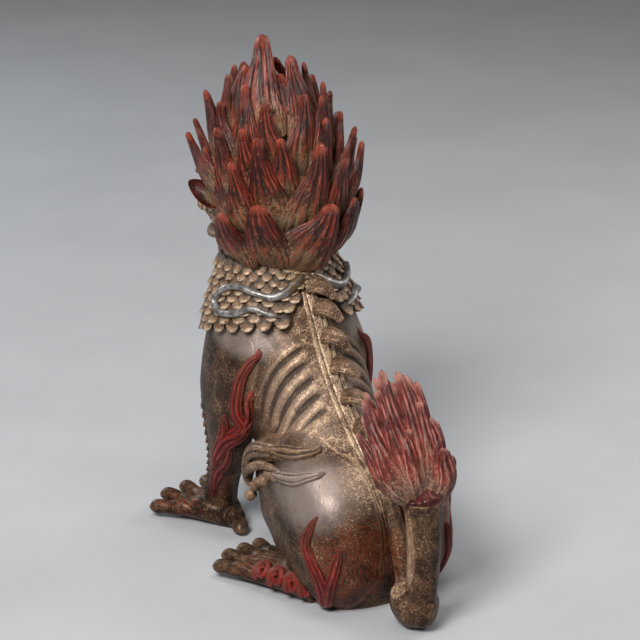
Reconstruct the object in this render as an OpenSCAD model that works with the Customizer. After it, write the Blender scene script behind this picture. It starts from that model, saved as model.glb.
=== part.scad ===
// Seated qilin: a hollow beast cast in separate pieces, pegged together, lacquered red and gilded.
// +Z is up, the beast faces -Y, its left side is +X, and the origin is on the ground under its middle.

/* [Trunk] */
// Height of the neck rim above the ground
body_h = 226; // [190:1:270]
// Length of the trunk from the chest to the rump
body_l = 212; // [176:1:254]
// Width across the chest
chest_w = 102; // [86:1:122]
// Width across the waist
waist_w = 86; // [72:1:104]
// Width across the rump
rump_w = 100; // [84:1:120]
// Width of the neck at its rim
neck_w = 80; // [66:1:94]
// Thickness of the trunk's cast wall
wall = 4.5; // [3:0.5:6]
// How far a rib stands out of the flank
rib_h = 3; // [1:0.2:4]

/* [Collar and back] */
// Thickness of the scaled collar
collar_t = 3; // [2:0.5:5]
// Scales in one row of the collar
scale_count = 22; // [16:1:28]
// How far the collar's hem stands away from the shoulders
collar_flare = 4.5; // [2:0.5:6]
// Width of the wavy ribbon on the collar
ribbon_w = 8; // [6:0.5:11]
// Width of the band along the spine
band_w = 16; // [12:0.5:20]
// Number of fins along the spine
fin_count = 8; // [5:1:9]
// Length of a fin
fin_l = 23; // [16:1:30]

/* [Head] */
// Length of the head from the nape to the nose
head_l = 112; // [94:1:134]
// Width across the cheeks
head_w = 80; // [68:1:96]
// Height of the skull above the neck rim
head_h = 74; // [62:1:88]
// Radius of an eyeball
eye_r = 8.5; // [6:0.5:11]
// Length of the horn
horn_l = 56; // [40:1:70]
// Radius of the spigot that plugs the head into the neck
spigot_r = 22; // [17:0.5:24]
// Length of that spigot below the rim
spigot_l = 22; // [16:1:30]

/* [Mane] */
// Height of the mane above the neck rim
mane_h = 154; // [126:1:186]
// Largest radius of the mane
mane_r = 58; // [48:1:70]
// Thickness of a lock as a share of its width
lock_flat = 0.56; // [0.4:0.02:0.8]

/* [Legs] */
// Distance of a front ankle from the middle
front_stance = 39; // [32:1:48]
// Length of a front paw
front_paw_l = 70; // [56:1:84]
// Length of a hind foot
hind_foot_l = 90; // [74:1:108]
// Angle by which the feet turn outwards
splay = 20; // [10:1:30]
// Thickness of a toe
toe_d = 13.5; // [10:0.5:17]
// Reach of the thigh from the middle
thigh_x = 61; // [52:1:73]
// Height of the relief flames on the legs
flame_h = 3; // [2:0.2:5]

/* [Tail] */
// Height of the stem's top above the ground
stem_h = 102; // [84:1:122]
// Width of the stem
stem_w = 27; // [18:1:30]
// Height of the plume above the stem
plume_h = 88; // [74:1:105]

/* [Joints] */
// Radius of the leg tenons
tenon_r = 8; // [6:0.5:10]
// Radius of the plume's tenon
plume_tenon_r = 8; // [6:0.5:9]
// Radius of the locking pins
pin_r = 2; // [1.5:0.25:3]
// Gap between a tenon and its socket
fit = 0.2; // [0.1:0.05:0.4]

/* [Hidden] */

bronze = [0.33, 0.25, 0.18];
gilt = [0.55, 0.42, 0.27];
lacquer = [0.45, 0.13, 0.09];
silver = [0.62, 0.6, 0.6];
iron = [0.25, 0.24, 0.23];

rim_z = body_h;
mid_y = -7.9;
neck_y = mid_y - 0.3 * body_l;
pin_z = rim_z - spigot_l / 2;

// Curves: a table of rows read as a smooth curve for u from 0 to 1
function unit(v) = v / norm(v);
function row(t, u) =
    let (n = len(t) - 1, s = min(max(u, 0), 1) * n, i = min(floor(s), n - 1), f = s - i)
    let (a = t[max(i - 1, 0)], b = t[i], c = t[i + 1], d = t[min(i + 2, n)])
    0.5 * (2 * b + (c - a) * f + (2 * a - 5 * b + 4 * c - d) * f * f + (3 * b - a - 3 * c + d) * f * f * f);
function column(t, key, value) = [for (r = t) [r[key], r[value]]];
function bow(s) = sign(s) * pow(abs(s), 0.92);
function heading(deg) = [sin(deg), -cos(deg), 0];
function grounded(p) = [p[0], p[1], max(p[2], 0)];

// A closed skin over rings of points; each ring runs anticlockwise about the direction of travel
module skin(rings) {
    m = len(rings[0]);
    n = len(rings);
    sides = [for (i = [0:n - 2], j = [0:m - 1])
        let (a = i * m + j, b = i * m + (j + 1) % m)
        each [[a, b + m, b], [a, a + m, b + m]]];
    ends = [[for (j = [0:m - 1]) j], [for (j = [m - 1:-1:0]) (n - 1) * m + j]];
    polyhedron([for (r = rings) each r], concat(sides, ends), convexity = 8);
}

// One casting: everything inside is fused into a single skin
module casting() {
    resize([0, 0, 0]) children();
}

module above_ground() {
    intersection() {
        children();
        translate([-body_l, -body_l, 0]) cube([2 * body_l, 2 * body_l, 2 * body_h]);
    }
}

// A surface f(u, t) as a skin of n rings with m points each
module surface_skin(f, n, m, u0 = 0, u1 = 1) {
    skin([for (i = [0:n]) [for (j = [0:m - 1]) f(u0 + (u1 - u0) * i / n, 360 * j / m)]]);
}

function surface_normal(f, u, t) =
    unit(cross(f(u, t + 2) - f(u, t - 2), f(u + 0.01, t) - f(u - 0.01, t)));

// A rounded strip that follows keys [u, t, width] on a surface and stands h proud of it
module relief(f, keys, h, n = 12, sink = 2) {
    rows = [for (i = [0:n]) row(keys, i / n)];
    pts = [for (r = rows) f(r[0], r[1])];
    skin([for (i = [0:n])
        let (tangent = unit(pts[min(i + 1, n)] - pts[max(i - 1, 0)]))
        let (up = surface_normal(f, rows[i][0], rows[i][1]), side = unit(cross(up, tangent)))
        let (w = rows[i][2], lift = h * min(1, 0.25 + w / 6))
        [for (q = [[0.5, -sink / h], [0.28, 1], [-0.28, 1], [-0.5, -sink / h]])
            pts[i] + side * q[0] * w + up * q[1] * lift]]);
}

// A flame-shaped lock along a bent path, w wide and flattened towards out
lock_wide = [[0, 0.85], [0.25, 1], [0.5, 1], [0.75, 0.84], [0.92, 0.58], [1, 0.3]];
lock_thick = [[0, 0.9], [0.3, 1], [0.6, 0.85], [0.85, 0.6], [1, 0.25]];
function bend(p, s) = p[0] * (1 - s) * (1 - s) + p[1] * 2 * s * (1 - s) + p[2] * s * s;
module lock(path, out, w, flat = lock_flat, n = 4, m = 4) {
    skin([for (i = [0:n])
        let (s = i / n, tangent = unit(bend(path, min(s + 0.02, 1)) - bend(path, max(s - 0.02, 0))))
        let (side = unit(cross(out, tangent)), up = cross(tangent, side))
        [for (j = [0:m - 1])
            bend(path, s) + side * cos(360 * j / m) * w / 2 * lookup(s, lock_wide)
                + up * sin(360 * j / m) * w / 2 * flat * lookup(s, lock_thick)]]);
}

// A round limb along rows [x, y, z, radius], for toes, hooks and horns
module limb(rows, n, m, out = [0, 0, 1]) {
    at = [for (i = [0:n]) row(rows, i / n)];
    pts = [for (r = at) [r[0], r[1], r[2]]];
    skin([for (i = [0:n])
        let (tangent = unit(pts[min(i + 1, n)] - pts[max(i - 1, 0)]))
        let (side = unit(cross(out, tangent)), up = cross(tangent, side))
        [for (j = [0:m - 1])
            grounded(pts[i] + (side * cos(360 * j / m) + up * sin(360 * j / m)) * at[i][3])]]);
}

left = 1;
right = -1;
module on_side(side) {
    mirror([side < 0 ? 1 : 0, 0, 0]) children();
}
module both_sides() {
    on_side(left) children();
    on_side(right) children();
}

// Trunk: stations [back y, back z, front y, front z, half width], from the neck rim down to the seat
trunk_rows = [
    [-0.135, 1, -0.465, 1, neck_w / 2],
    [-0.1, 0.925, -0.5, 0.85, neck_w * 0.59],
    [-0.036, 0.84, -0.53, 0.717, chest_w * 0.49],
    [0.045, 0.717, -0.525, 0.575, chest_w / 2],
    [0.155, 0.593, -0.42, 0.443, chest_w * 0.46],
    [0.282, 0.487, -0.24, 0.345, waist_w / 2],
    [0.404, 0.398, -0.066, 0.243, waist_w * 0.53],
    [0.484, 0.283, 0.056, 0.142, rump_w / 2],
    [0.498, 0.15, 0.15, 0.062, rump_w * 0.46],
    [0.46, 0, 0.207, 0, rump_w * 0.36]
];
function trunk_at(u, t, off = 0) =
    let (r = row(trunk_rows, u), back = [r[0] * body_l, r[1] * body_h], front = [r[2] * body_l, r[3] * body_h])
    let (mid = (back + front) / 2, half = (back - front) / 2, k = 1 + off / norm(half))
    let (at = mid + half * k * bow(cos(t)))
    [(r[4] + off) * bow(sin(t)), mid_y + at[0], max(0, at[1])];
trunk_face = function (u, t) trunk_at(u, t);

hollow_top = 0.14;
rib_count = 6;
module trunk_solid() {
    surface_skin(trunk_face, 12, 16);
}
module rib(k) {
    u = 0.278 + 0.038 * k;
    keys = [[u + 0.008, 15, 4], [u + 0.036, 36, 8], [u + 0.088, 56, 8], [u + 0.134, 70, 4]];
    relief(trunk_face, keys, rib_h, 4);
}
module trunk_hollow() {
    inner = function (u, t) trunk_at(u, t, -wall) - [0, 0, u > 0.99 ? 1 : 0];
    surface_skin(inner, 6, 12, hollow_top, 1);
}
module leg_sockets(gap) {
    both_sides() {
        translate([front_tenon[0], front_tenon[1], front_tenon[2]]) rotate([0, -90, 0])
            cylinder(r = tenon_r + gap, h = tenon_in + gap, $fn = 48);
        translate([hind_tenon[0], hind_tenon[1], hind_tenon[2]]) rotate([0, -90, 0])
            cylinder(r = tenon_r + gap, h = tenon_in + gap, $fn = 48);
    }
}
module neck_bore() {
    translate([0, neck_y, rim_z - spigot_l - 12]) cylinder(r = spigot_r + fit, h = spigot_l + 20, $fn = 64);
}
module neck_pin_shaft(gap) {
    translate([0, neck_y, pin_z]) rotate([0, 90, 0])
        cylinder(r = pin_r + gap, h = neck_w - 2, center = true, $fn = 32);
}
module trunk_body() {
    trunk_solid();
    both_sides() for (k = [0:rib_count - 1]) rib(k);
}
module trunk_shell() {
    color(bronze) difference() {
        casting() difference() {
            trunk_body();
            trunk_hollow();
        }
        neck_bore();
        neck_pin_shaft(fit);
        leg_sockets(fit);
    }
}

// Collar: a sleeve of staggered scales between the neck rim and the shoulders, with a scalloped hem that
// hangs low on the flanks and rises over the spine
collar_top = 0.012;
collar_end = 0.25;
collar_rise = 0.12;
scale_rows = 6;
scale_lift = 1.1;
function ease(low, high, x) = let (s = min(max((x - low) / (high - low), 0), 1)) s * s * (3 - 2 * s);
function hem(t) =
    let (turn = (t % 360 + 360) % 360)
    collar_end - collar_rise * (1 - ease(3, 28, min(turn, 360 - turn)));
function collar_off(u) = collar_t + collar_flare * ease(0.06, 0.235, u);
function collar_at(k, t) =
    let (wave = cos(scale_count * t + 180 * k), scallop = k == scale_rows ? 0.012 * wave : 0)
    let (u = collar_top + (hem(t) - collar_top) * k / scale_rows + scallop)
    trunk_at(u, t, collar_off(u) + scale_lift * wave);
collar_face = function (u, t) trunk_at(u, t, collar_off(u));
module collar_body() {
    skin([for (k = [0:scale_rows]) [for (j = [0:2 * scale_count - 1]) collar_at(k, j * 180 / scale_count)]]);
}
module scale_collar() {
    color(gilt) casting() difference() {
        collar_body();
        trunk_solid();
    }
}
module ribbon(side) {
    color(silver) casting() difference() {
        on_side(side) relief(collar_face, [[0.07, 2, 2], [0.093, 8, 0.9 * ribbon_w], [0.133, 19.5, ribbon_w],
            [0.145, 31, 0.9 * ribbon_w], [0.123, 45, 0.8 * ribbon_w], [0.098, 60, 0.8 * ribbon_w],
            [0.105, 76, 0.8 * ribbon_w], [0.145, 87, 0.8 * ribbon_w], [0.182, 80, 0.8 * ribbon_w],
            [0.19, 64, 0.8 * ribbon_w], [0.178, 48, 0.8 * ribbon_w], [0.2, 37, 0.6 * ribbon_w],
            [0.215, 27, 2]], 5, 16);
        collar_body();
        trunk_solid();
    }
}
module left_ribbon() {
    ribbon(left);
}
module right_ribbon() {
    ribbon(right);
}

// Spine: a raised band with raked fins
band_top = 0.125;
band_end = 0.79;
module band_strip() {
    keys = [[band_top, 0, 0.75 * band_w], [0.34, 0, band_w], [0.57, 0, band_w], [band_end, 0, 0.8 * band_w]];
    relief(trunk_face, keys, 2.8, 10);
}
module spine_band() {
    color(gilt) casting() difference() {
        band_strip();
        trunk_solid();
        collar_body();
        rump_strip();
    }
}
module fin(u) {
    foot = trunk_at(u, 0);
    out = surface_normal(trunk_face, u, 0);
    down = unit(trunk_at(u + 0.03, 0) - trunk_at(u - 0.03, 0));
    tip = foot + (out * 0.61 + down * 0.74) * fin_l;
    path = [foot - out * 2 - down * 3, foot + out * fin_l * 0.43 - down, tip];
    lock(path, [1, 0, 0], fin_l * 0.48, 0.42, 3, 4);
}
module dorsal_fins() {
    color(gilt) casting() difference() {
        for (k = [0:fin_count - 1]) fin(band_top + 0.03 + (band_end - band_top - 0.145) * k / (fin_count - 1));
        trunk_solid();
        collar_body();
        band_strip();
        rump_strip();
    }
}

// Front legs: horizontal stations [x, y, z, half width, half depth] from the shoulder down to the ankle
ankle_y = mid_y - 0.405 * body_l;
elbow_y = mid_y - 0.26 * body_l;
leg_rows = [
    [chest_w * 0.375, elbow_y + 3, body_h * 0.79, 5, 26],
    [chest_w * 0.43, elbow_y + 3, body_h * 0.69, 12, 34],
    [chest_w * 0.475, elbow_y, body_h * 0.55, 14.5, 33],
    [chest_w * 0.465, elbow_y, body_h * 0.43, 15.5, 25],
    [front_stance + 6, elbow_y - 5, body_h * 0.31, 14.5, 17.5],
    [front_stance + 3, ankle_y + 12, body_h * 0.19, 12, 13.5],
    [front_stance, ankle_y, body_h * 0.1, 12.5, 14.5],
    [front_stance, ankle_y - 2, body_h * 0.03, 13, 16]
];
leg_face = function (u, t)
    let (r = row(leg_rows, u)) [r[0] + r[3] * sin(t), r[1] + r[4] * cos(t), r[2]];
tenon_in = 24;
front_tenon = [chest_w / 2 + 2, elbow_y, body_h * 0.58];

// A foot from its heel along its heading, with stations [share of length, half width, height] and four toes
function foot_face(heel, length, rows) = function (u, t)
    let (ahead = heading(splay), aside = cross([0, 0, 1], ahead), r = row(rows, u))
    let (rise = [0, 0, r[2] / 2 * (1 + bow(sin(t))) - 1])
    grounded(heel + ahead * r[0] * length + aside * r[1] * cos(t) + rise);
module foot(heel, length, rows, toes_at) {
    ahead = heading(splay);
    aside = cross([0, 0, 1], ahead);
    sole = foot_face(heel, length, rows);
    surface_skin(sole, 5, 8);
    for (k = [-1.5:1:1.5]) {
        root = heel + ahead * toes_at * length + aside * k * toe_d * 0.78;
        way = heading(splay + k * 7);
        reach = length * (1 - toes_at) - abs(k) * 2;
        limb([[each root + [0, 0, toe_d * 0.75], toe_d * 0.5],
            [each root + way * reach * 0.4 + [0, 0, toe_d * 1.05], toe_d * 0.54],
            [each root + way * reach * 0.75 + [0, 0, toe_d * 0.7], toe_d * 0.5],
            [each root + way * reach + [0, 0, toe_d * 0.36], toe_d * 0.28]], 3, 5);
    }
}
front_heel = [front_stance, ankle_y, 0] - heading(splay) * 15;
module foreleg_body() {
    surface_skin(leg_face, 8, 10);
    paw_rows = [[0, 9, 13], [0.14, 15, 23], [0.34, 19, 24], [0.52, 21, 19], [0.64, 19, 13]];
    foot(front_heel, front_paw_l, paw_rows, 0.5);
    for (k = [-1, 1])
        limb([[each front_heel + [5 * k, -4, 8], 6], [each front_heel + [6 * k, 4, 7], 7],
            [each front_heel + [6 * k, 9, 6], 4]], 2, 6);
}
module foreleg(side) {
    color(bronze) union() {
        casting() above_ground() difference() {
            on_side(side) foreleg_body();
            trunk_body();
            collar_body();
        }
        on_side(side) front_leg_tenon();
    }
}
module left_foreleg() {
    foreleg(left);
}
module right_foreleg() {
    foreleg(right);
}
module front_leg_tenon() {
    difference() {
        translate(front_tenon) rotate([0, -90, 0]) cylinder(r = tenon_r, h = tenon_in, $fn = 48);
        leg_pin_shaft(front_tenon, fit);
    }
}
module leg_pin_shaft(at, gap) {
    translate([at[0] - tenon_in + 5, at[1], at[2]])
        cylinder(r = pin_r + gap, h = 3 * tenon_r, center = true, $fn = 32);
}

// Hind legs: a thigh whose outline is set by its radius every 30 degrees from the back, swelling outwards
thigh_y = mid_y + 0.29 * body_l;
thigh_z = 50;
thigh_reach = [48, 51, 53, 58, 74, 83, 62, 46, 38, 44, 53, 51];
thigh_rows = [
    [thigh_x * 0.2, thigh_y, thigh_z, 0.9],
    [thigh_x * 0.48, thigh_y, thigh_z, 0.99],
    [thigh_x * 0.7, thigh_y - 1, thigh_z + 1, 0.95],
    [thigh_x * 0.86, thigh_y - 3, thigh_z + 3, 0.8],
    [thigh_x * 0.95, thigh_y - 5, thigh_z + 5, 0.56],
    [thigh_x, thigh_y - 6, thigh_z + 6, 0.2]
];
function thigh_radius(t) =
    let (s = (t % 360 + 360) % 360 / 30, i = floor(s), f = (1 - cos(180 * (s - i))) / 2)
    thigh_reach[i % 12] * (1 - f) + thigh_reach[(i + 1) % 12] * f;
thigh_face = function (u, t)
    let (r = row(thigh_rows, u), k = r[3] * thigh_radius(t))
    [r[0], r[1] + k * cos(t), max(0, r[2] + k * sin(t))];
hind_tenon = [rump_w / 2 + 2, thigh_y, 50];
hind_heel = [thigh_x * 0.63, thigh_y + 6, 0];
hind_rows = [[0, 12, 18], [0.15, 17, 26], [0.4, 18, 24], [0.62, 20, 20], [0.74, 19, 13]];
module hind_leg_body() {
    surface_skin(thigh_face, 6, 12);
    foot(hind_heel, hind_foot_l, hind_rows, 0.62);
}
module hind_leg(side) {
    color(bronze) union() {
        casting() above_ground() difference() {
            on_side(side) hind_leg_body();
            trunk_body();
        }
        on_side(side) hind_leg_tenon();
    }
}
module left_hind_leg() {
    hind_leg(left);
}
module right_hind_leg() {
    hind_leg(right);
}
module hind_leg_tenon() {
    difference() {
        translate(hind_tenon) rotate([0, -90, 0]) cylinder(r = tenon_r, h = tenon_in, $fn = 48);
        leg_pin_shaft(hind_tenon, fit);
    }
}

// Relief on the legs
module shoulder_flame(side) {
    color(lacquer) casting() difference() {
        on_side(side) union() {
            relief(leg_face, [[0.11, -16, 3], [0.155, 16, 9], [0.223, 35, 12], [0.3, 37, 13], [0.37, 24, 13],
                [0.44, 26, 14], [0.51, 52, 14], [0.6, 72, 11], [0.7, 60, 8], [0.79, 34, 4]], flame_h, 10);
            relief(leg_face, [[0.29, -26, 3], [0.35, -14, 8], [0.4, 4, 9.5], [0.45, 24, 8]], flame_h, 5);
        }
        on_side(side) foreleg_body();
        trunk_body();
    }
}
module left_shoulder_flame() {
    shoulder_flame(left);
}
module right_shoulder_flame() {
    shoulder_flame(right);
}
module thigh_flame(side) {
    color(lacquer) casting() above_ground() difference() {
        on_side(side) union() {
            relief(thigh_face, [[0.46, -62, 8], [0.59, -51, 11], [0.71, -34, 12], [0.76, -10, 11],
                [0.72, 15, 8], [0.62, 33, 3]], flame_h, 8);
            relief(thigh_face, [[0.42, -60, 8], [0.45, -36, 9], [0.435, -13, 7], [0.4, 7, 3]], flame_h, 5);
        }
        on_side(side) hind_leg_body();
        trunk_body();
    }
}
module left_thigh_flame() {
    thigh_flame(left);
}
module right_thigh_flame() {
    thigh_flame(right);
}
module knee_guard(side) {
    color(gilt) casting() difference() {
        on_side(side) union() {
            relief(thigh_face, [[0.27, 100, 3], [0.42, 103, 9], [0.52, 113, 13], [0.5, 128, 15],
                [0.56, 141, 15], [0.66, 150, 12], [0.74, 154, 5]], 7, 8);
            relief(thigh_face, [[0.6, 100, 3], [0.74, 112, 8], [0.78, 128, 9], [0.8, 144, 7],
                [0.84, 156, 4]], 5, 5);
        }
        on_side(side) hind_leg_body();
        trunk_body();
    }
}
module left_knee_guard() {
    knee_guard(left);
}
module right_knee_guard() {
    knee_guard(right);
}
curl_r = 5.6;
module heel_curls(side) {
    hind_sole = foot_face(hind_heel, hind_foot_l, hind_rows);
    color(lacquer) casting() above_ground() difference() {
        on_side(side) for (k = [0:3]) {
            keys = [for (i = [0:5]) let (turn = 70 * i, r = curl_r * (1 - 0.12 * i))
                [0.14 + 0.16 * k + r * cos(turn) / 90, 10 + 4.6 * r * sin(turn), 2.6]];
            relief(hind_sole, keys, 2.2, 5);
        }
        on_side(side) hind_leg_body();
    }
}
module left_heel_curls() {
    heel_curls(left);
}
module right_heel_curls() {
    heel_curls(right);
}

// Head: skull stations [share of length ahead of the neck axis, top, bottom, half width]
skull_rows = [
    [-0.3, 0.57, 0.14, 0.22],
    [-0.19, 0.84, 0.05, 0.4],
    [0, 1, 0, 0.475],
    [0.23, 0.95, 0.03, 0.5],
    [0.41, 0.74, 0.16, 0.485],
    [0.53, 0.6, 0.24, 0.42],
    [0.64, 0.56, 0.25, 0.35],
    [0.7, 0.47, 0.28, 0.23]
];
jaw_rows = [
    [0.14, 0.16, 0, 0.43],
    [0.3, 0.14, -0.03, 0.44],
    [0.45, 0.1, -0.1, 0.4],
    [0.57, 0.09, -0.12, 0.31],
    [0.64, 0.05, -0.08, 0.18]
];
function head_at(rows, u, t) =
    let (r = row(rows, u), top = r[1] * head_h, low = r[2] * head_h)
    let (rise = (top + low) / 2 + (top - low) / 2 * bow(sin(t)))
    [r[3] * head_w * bow(cos(t)), neck_y - r[0] * head_l, rim_z + rise];
skull_face = function (u, t) head_at(skull_rows, u, t);
jaw_face = function (u, t) head_at(jaw_rows, u, t);
eye_at = [head_w * 0.3, neck_y - head_l * 0.475, rim_z + head_h * 0.56];
module skull_solid() {
    intersection() {
        union() {
            surface_skin(skull_face, 9, 12);
            both_sides() limb([[9, neck_y - head_l * 0.6, rim_z + head_h * 0.44, 7],
                [10, neck_y - head_l * 0.66, rim_z + head_h * 0.42, 8],
                [9, neck_y - head_l * 0.71, rim_z + head_h * 0.4, 5]], 3, 6);
        }
        translate([-head_w, neck_y - head_l, rim_z]) cube([2 * head_w, 2 * head_l, 2 * head_h]);
    }
}
module spigot() {
    translate([0, neck_y, rim_z - spigot_l]) cylinder(r = spigot_r, h = spigot_l + 8, $fn = 64);
}
module skull_body() {
    skull_solid();
    spigot();
}
module skull() {
    color(bronze) difference() {
        union() {
            casting() skull_solid();
            spigot();
        }
        neck_pin_shaft(fit);
        both_sides() translate(eye_at) sphere(r = eye_r + fit, $fn = 48);
    }
}
module eye(side) {
    color("gold") on_side(side) translate(eye_at) sphere(r = eye_r, $fn = 48);
}
module left_eye() {
    eye(left);
}
module right_eye() {
    eye(right);
}
module jaw_solid() {
    surface_skin(jaw_face, 5, 10);
}
module lower_jaw() {
    color(bronze) casting() difference() {
        jaw_solid();
        skull_body();
        trunk_solid();
        collar_body();
        core_solid();
    }
}
module tongue() {
    color(lacquer) casting() difference() {
        lock([[0, neck_y - head_l * 0.28, rim_z + head_h * 0.2],
            [0, neck_y - head_l * 0.5, rim_z + head_h * 0.1],
            [0, neck_y - head_l * 0.66, rim_z + head_h * 0.22]], [0, 0, 1], 26, 0.36);
        skull_body();
        jaw_solid();
    }
}
module fang(x, y, z, up) {
    translate([x, y, z]) mirror([0, 0, up ? 0 : 1]) cylinder(r1 = 3, r2 = 0.6, h = 12, $fn = 8);
}
module fangs() {
    color("ivory") casting() difference() {
        both_sides() {
            fang(head_w * 0.25, neck_y - head_l * 0.6, rim_z + head_h * 0.28, false);
            fang(head_w * 0.2, neck_y - head_l * 0.55, rim_z + head_h * 0.06, true);
        }
        skull_body();
        jaw_solid();
    }
}
module ear_body() {
    lock([[head_w * 0.4, neck_y - head_l * 0.12, rim_z + head_h * 0.5],
        [head_w * 0.62, neck_y - head_l * 0.12, rim_z + head_h * 0.52],
        [head_w * 0.64, neck_y - head_l * 0.3, rim_z + head_h * 0.62]], [0.4, 0, 1], 21, 0.4);
}
module ear(side) {
    color(lacquer) casting() difference() {
        on_side(side) ear_body();
        skull_body();
        core_solid();
        all_locks();
    }
}
module left_ear() {
    ear(left);
}
module right_ear() {
    ear(right);
}
module brow(side) {
    color(lacquer) casting() difference() {
        on_side(side) for (k = [0, 1])
            lock([eye_at + [-10, -4, 9], eye_at + [2 + 6 * k, -6, 16 + 6 * k],
                eye_at + [17 + 2 * k, 4 + 6 * k, 9 + 12 * k]], [0, -1, 0.5], 13 - 2 * k, 0.6);
        skull_body();
        on_side(side) translate(eye_at) sphere(r = eye_r + fit, $fn = 32);
        horn_body();
        core_solid();
        all_locks();
    }
}
module left_brow() {
    brow(left);
}
module right_brow() {
    brow(right);
}
module cheek_curls() {
    color(gilt) casting() difference() {
        both_sides() for (k = [0:3]) {
            u = 0.38 + 0.065 * k;
            translate(head_at(skull_rows, u, -12 - 5 * k)) sphere(r = 5.4 - 0.3 * k, $fn = 6);
        }
        skull_body();
        jaw_solid();
        core_solid();
        all_locks();
        both_sides() ear_body();
    }
}
module beard() {
    chin = [0, neck_y - head_l * 0.52, rim_z - head_h * 0.06];
    color(lacquer) casting() difference() {
        for (k = [-2:2])
            lock([chin + [k * 9, abs(k) * 5, 0], chin + [k * 11, 2 + abs(k) * 6, -14],
                chin + [k * 12, 10 + abs(k) * 7, -24 + abs(k) * 3]], [0, -1, 0], 12, 0.6);
        skull_body();
        jaw_solid();
        trunk_solid();
        collar_body();
    }
}
module horn_body() {
    root = [0, neck_y - head_l * 0.33, rim_z + head_h * 0.84];
    limb([[each root, 7], [each root + [0, -3, horn_l * 0.35], 6], [each root + [0, -2, horn_l * 0.7], 4.2],
        [each root + [0, 4, horn_l * 0.94], 2.6], [each root + [0, 10, horn_l], 1.2]], 6, 6, [1, 0, 0]);
}
module horn() {
    color(gilt) casting() difference() {
        horn_body();
        skull_body();
        core_solid();
        all_locks();
    }
}

// Mane: a core on the skull and tiers of flame locks
// Core stations [share of height, set back, half width, half depth], sizes as shares of the mane's radius
core_rows = [
    [0.88, -0.26, 0.06, 0.06],
    [0.76, -0.24, 0.29, 0.27],
    [0.61, -0.17, 0.5, 0.46],
    [0.47, -0.09, 0.66, 0.6],
    [0.32, 0.02, 0.76, 0.68],
    [0.16, 0.07, 0.76, 0.64],
    [0.03, 0.1, 0.62, 0.52]
];
core_up = [for (i = [len(core_rows) - 1:-1:0]) core_rows[i]];
function core_mid(h) = [0, neck_y + mane_r * lookup(h, column(core_up, 0, 1)), rim_z + mane_h * h];
function round_core(h, t) = core_mid(h)
    + mane_r * [lookup(h, column(core_up, 0, 2)) * sin(t), lookup(h, column(core_up, 0, 3)) * cos(t), 0];
core_face = function (u, t)
    let (r = row(core_rows, u))
    [r[2] * mane_r * sin(t), neck_y + mane_r * (r[1] + r[3] * cos(t)), rim_z + mane_h * r[0]];
module core_solid() {
    surface_skin(core_face, 6, 10);
}
module mane_core() {
    color(bronze) casting() difference() {
        core_solid();
        skull_body();
    }
}

// Locks: [angle from the back at the root, root height, angle at the tip, tip height, tip reach, width]
nape = [[15, 0.06, -10, 0.31, 0.92, 28], [38, 0.06, 42, 0.33, 0.88, 23], [-34, 0.07, -35, 0.3, 0.95, 21],
    [76, 0.06, 70, 0.26, 0.88, 22], [-60, 0.06, -60, 0.29, 0.92, 21], [-84, 0.06, -86, 0.26, 0.88, 20],
    [102, 0.07, 102, 0.28, 0.84, 18], [-104, 0.07, -104, 0.28, 0.84, 18]];
second = [[9, 0.15, -8, 0.59, 0.9, 23], [34, 0.16, 38, 0.63, 0.8, 21], [56, 0.15, 60, 0.51, 0.9, 19],
    [-22, 0.16, -28, 0.5, 0.94, 19], [-47, 0.17, -51, 0.53, 1, 18], [-73, 0.16, -77, 0.5, 0.9, 19],
    [80, 0.16, 84, 0.47, 0.88, 18], [104, 0.18, 110, 0.5, 0.88, 17], [-100, 0.18, -108, 0.5, 0.88, 17]];
third = [[22, 0.29, 22, 0.62, 0.78, 19], [47, 0.29, 50, 0.66, 0.74, 18], [73, 0.28, 78, 0.64, 0.78, 18],
    [98, 0.28, 106, 0.58, 0.9, 18], [-14, 0.29, -22, 0.68, 0.78, 18], [-39, 0.28, -49, 0.6, 0.9, 17],
    [-64, 0.29, -68, 0.64, 0.8, 17], [-90, 0.28, -98, 0.58, 0.9, 18], [122, 0.34, 130, 0.6, 0.84, 16],
    [-122, 0.34, -130, 0.6, 0.84, 16]];
fourth = [[2, 0.41, -12, 0.79, 0.58, 19], [30, 0.41, 30, 0.76, 0.54, 18], [56, 0.42, 60, 0.83, 0.44, 18],
    [80, 0.42, 84, 0.74, 0.56, 17], [102, 0.42, 108, 0.77, 0.66, 17], [-26, 0.41, -32, 0.76, 0.6, 17],
    [-50, 0.42, -48, 0.81, 0.62, 16], [-75, 0.41, -78, 0.72, 0.66, 17], [-100, 0.42, -106, 0.77, 0.66, 17],
    [128, 0.46, 134, 0.72, 0.62, 16], [-128, 0.46, -134, 0.72, 0.62, 16]];
crown = [[32, 0.56, 60, 1.035, 0.04, 22], [-24, 0.55, -34, 0.93, 0.25, 19], [4, 0.57, 0, 0.86, 0.24, 18],
    [66, 0.56, 74, 0.9, 0.2, 16],
    [100, 0.55, 106, 0.84, 0.38, 15], [-58, 0.56, -66, 0.88, 0.3, 16], [-98, 0.55, -106, 0.84, 0.38, 15],
    [148, 0.56, 158, 0.84, 0.36, 15], [-148, 0.56, -158, 0.84, 0.36, 15]];
module tier(locks) {
    for (k = locks) {
        root = round_core(k[1], k[0]);
        radial = [sin(k[0]), cos(k[0]), 0];
        tip = core_mid(k[3]) + mane_r * k[4] * [sin(k[2]), cos(k[2]), 0];
        lean = (k[0] + k[2]) / 2;
        spread = max(mane_r * k[4] * 1.08, norm(root - core_mid(k[1])) + 7);
        belly = core_mid(k[1] + 0.3 * (k[3] - k[1])) + spread * [sin(lean), cos(lean), 0];
        lock([root - radial * 4, belly, tip], [sin(lean), cos(lean), 0.15], k[5]);
    }
}
module all_locks() {
    tier(nape);
    tier(second);
    tier(third);
    tier(fourth);
    tier(crown);
}
module crown_locks() {
    color(lacquer) casting() difference() {
        tier(crown);
        core_solid();
        skull_body();
    }
}
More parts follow.
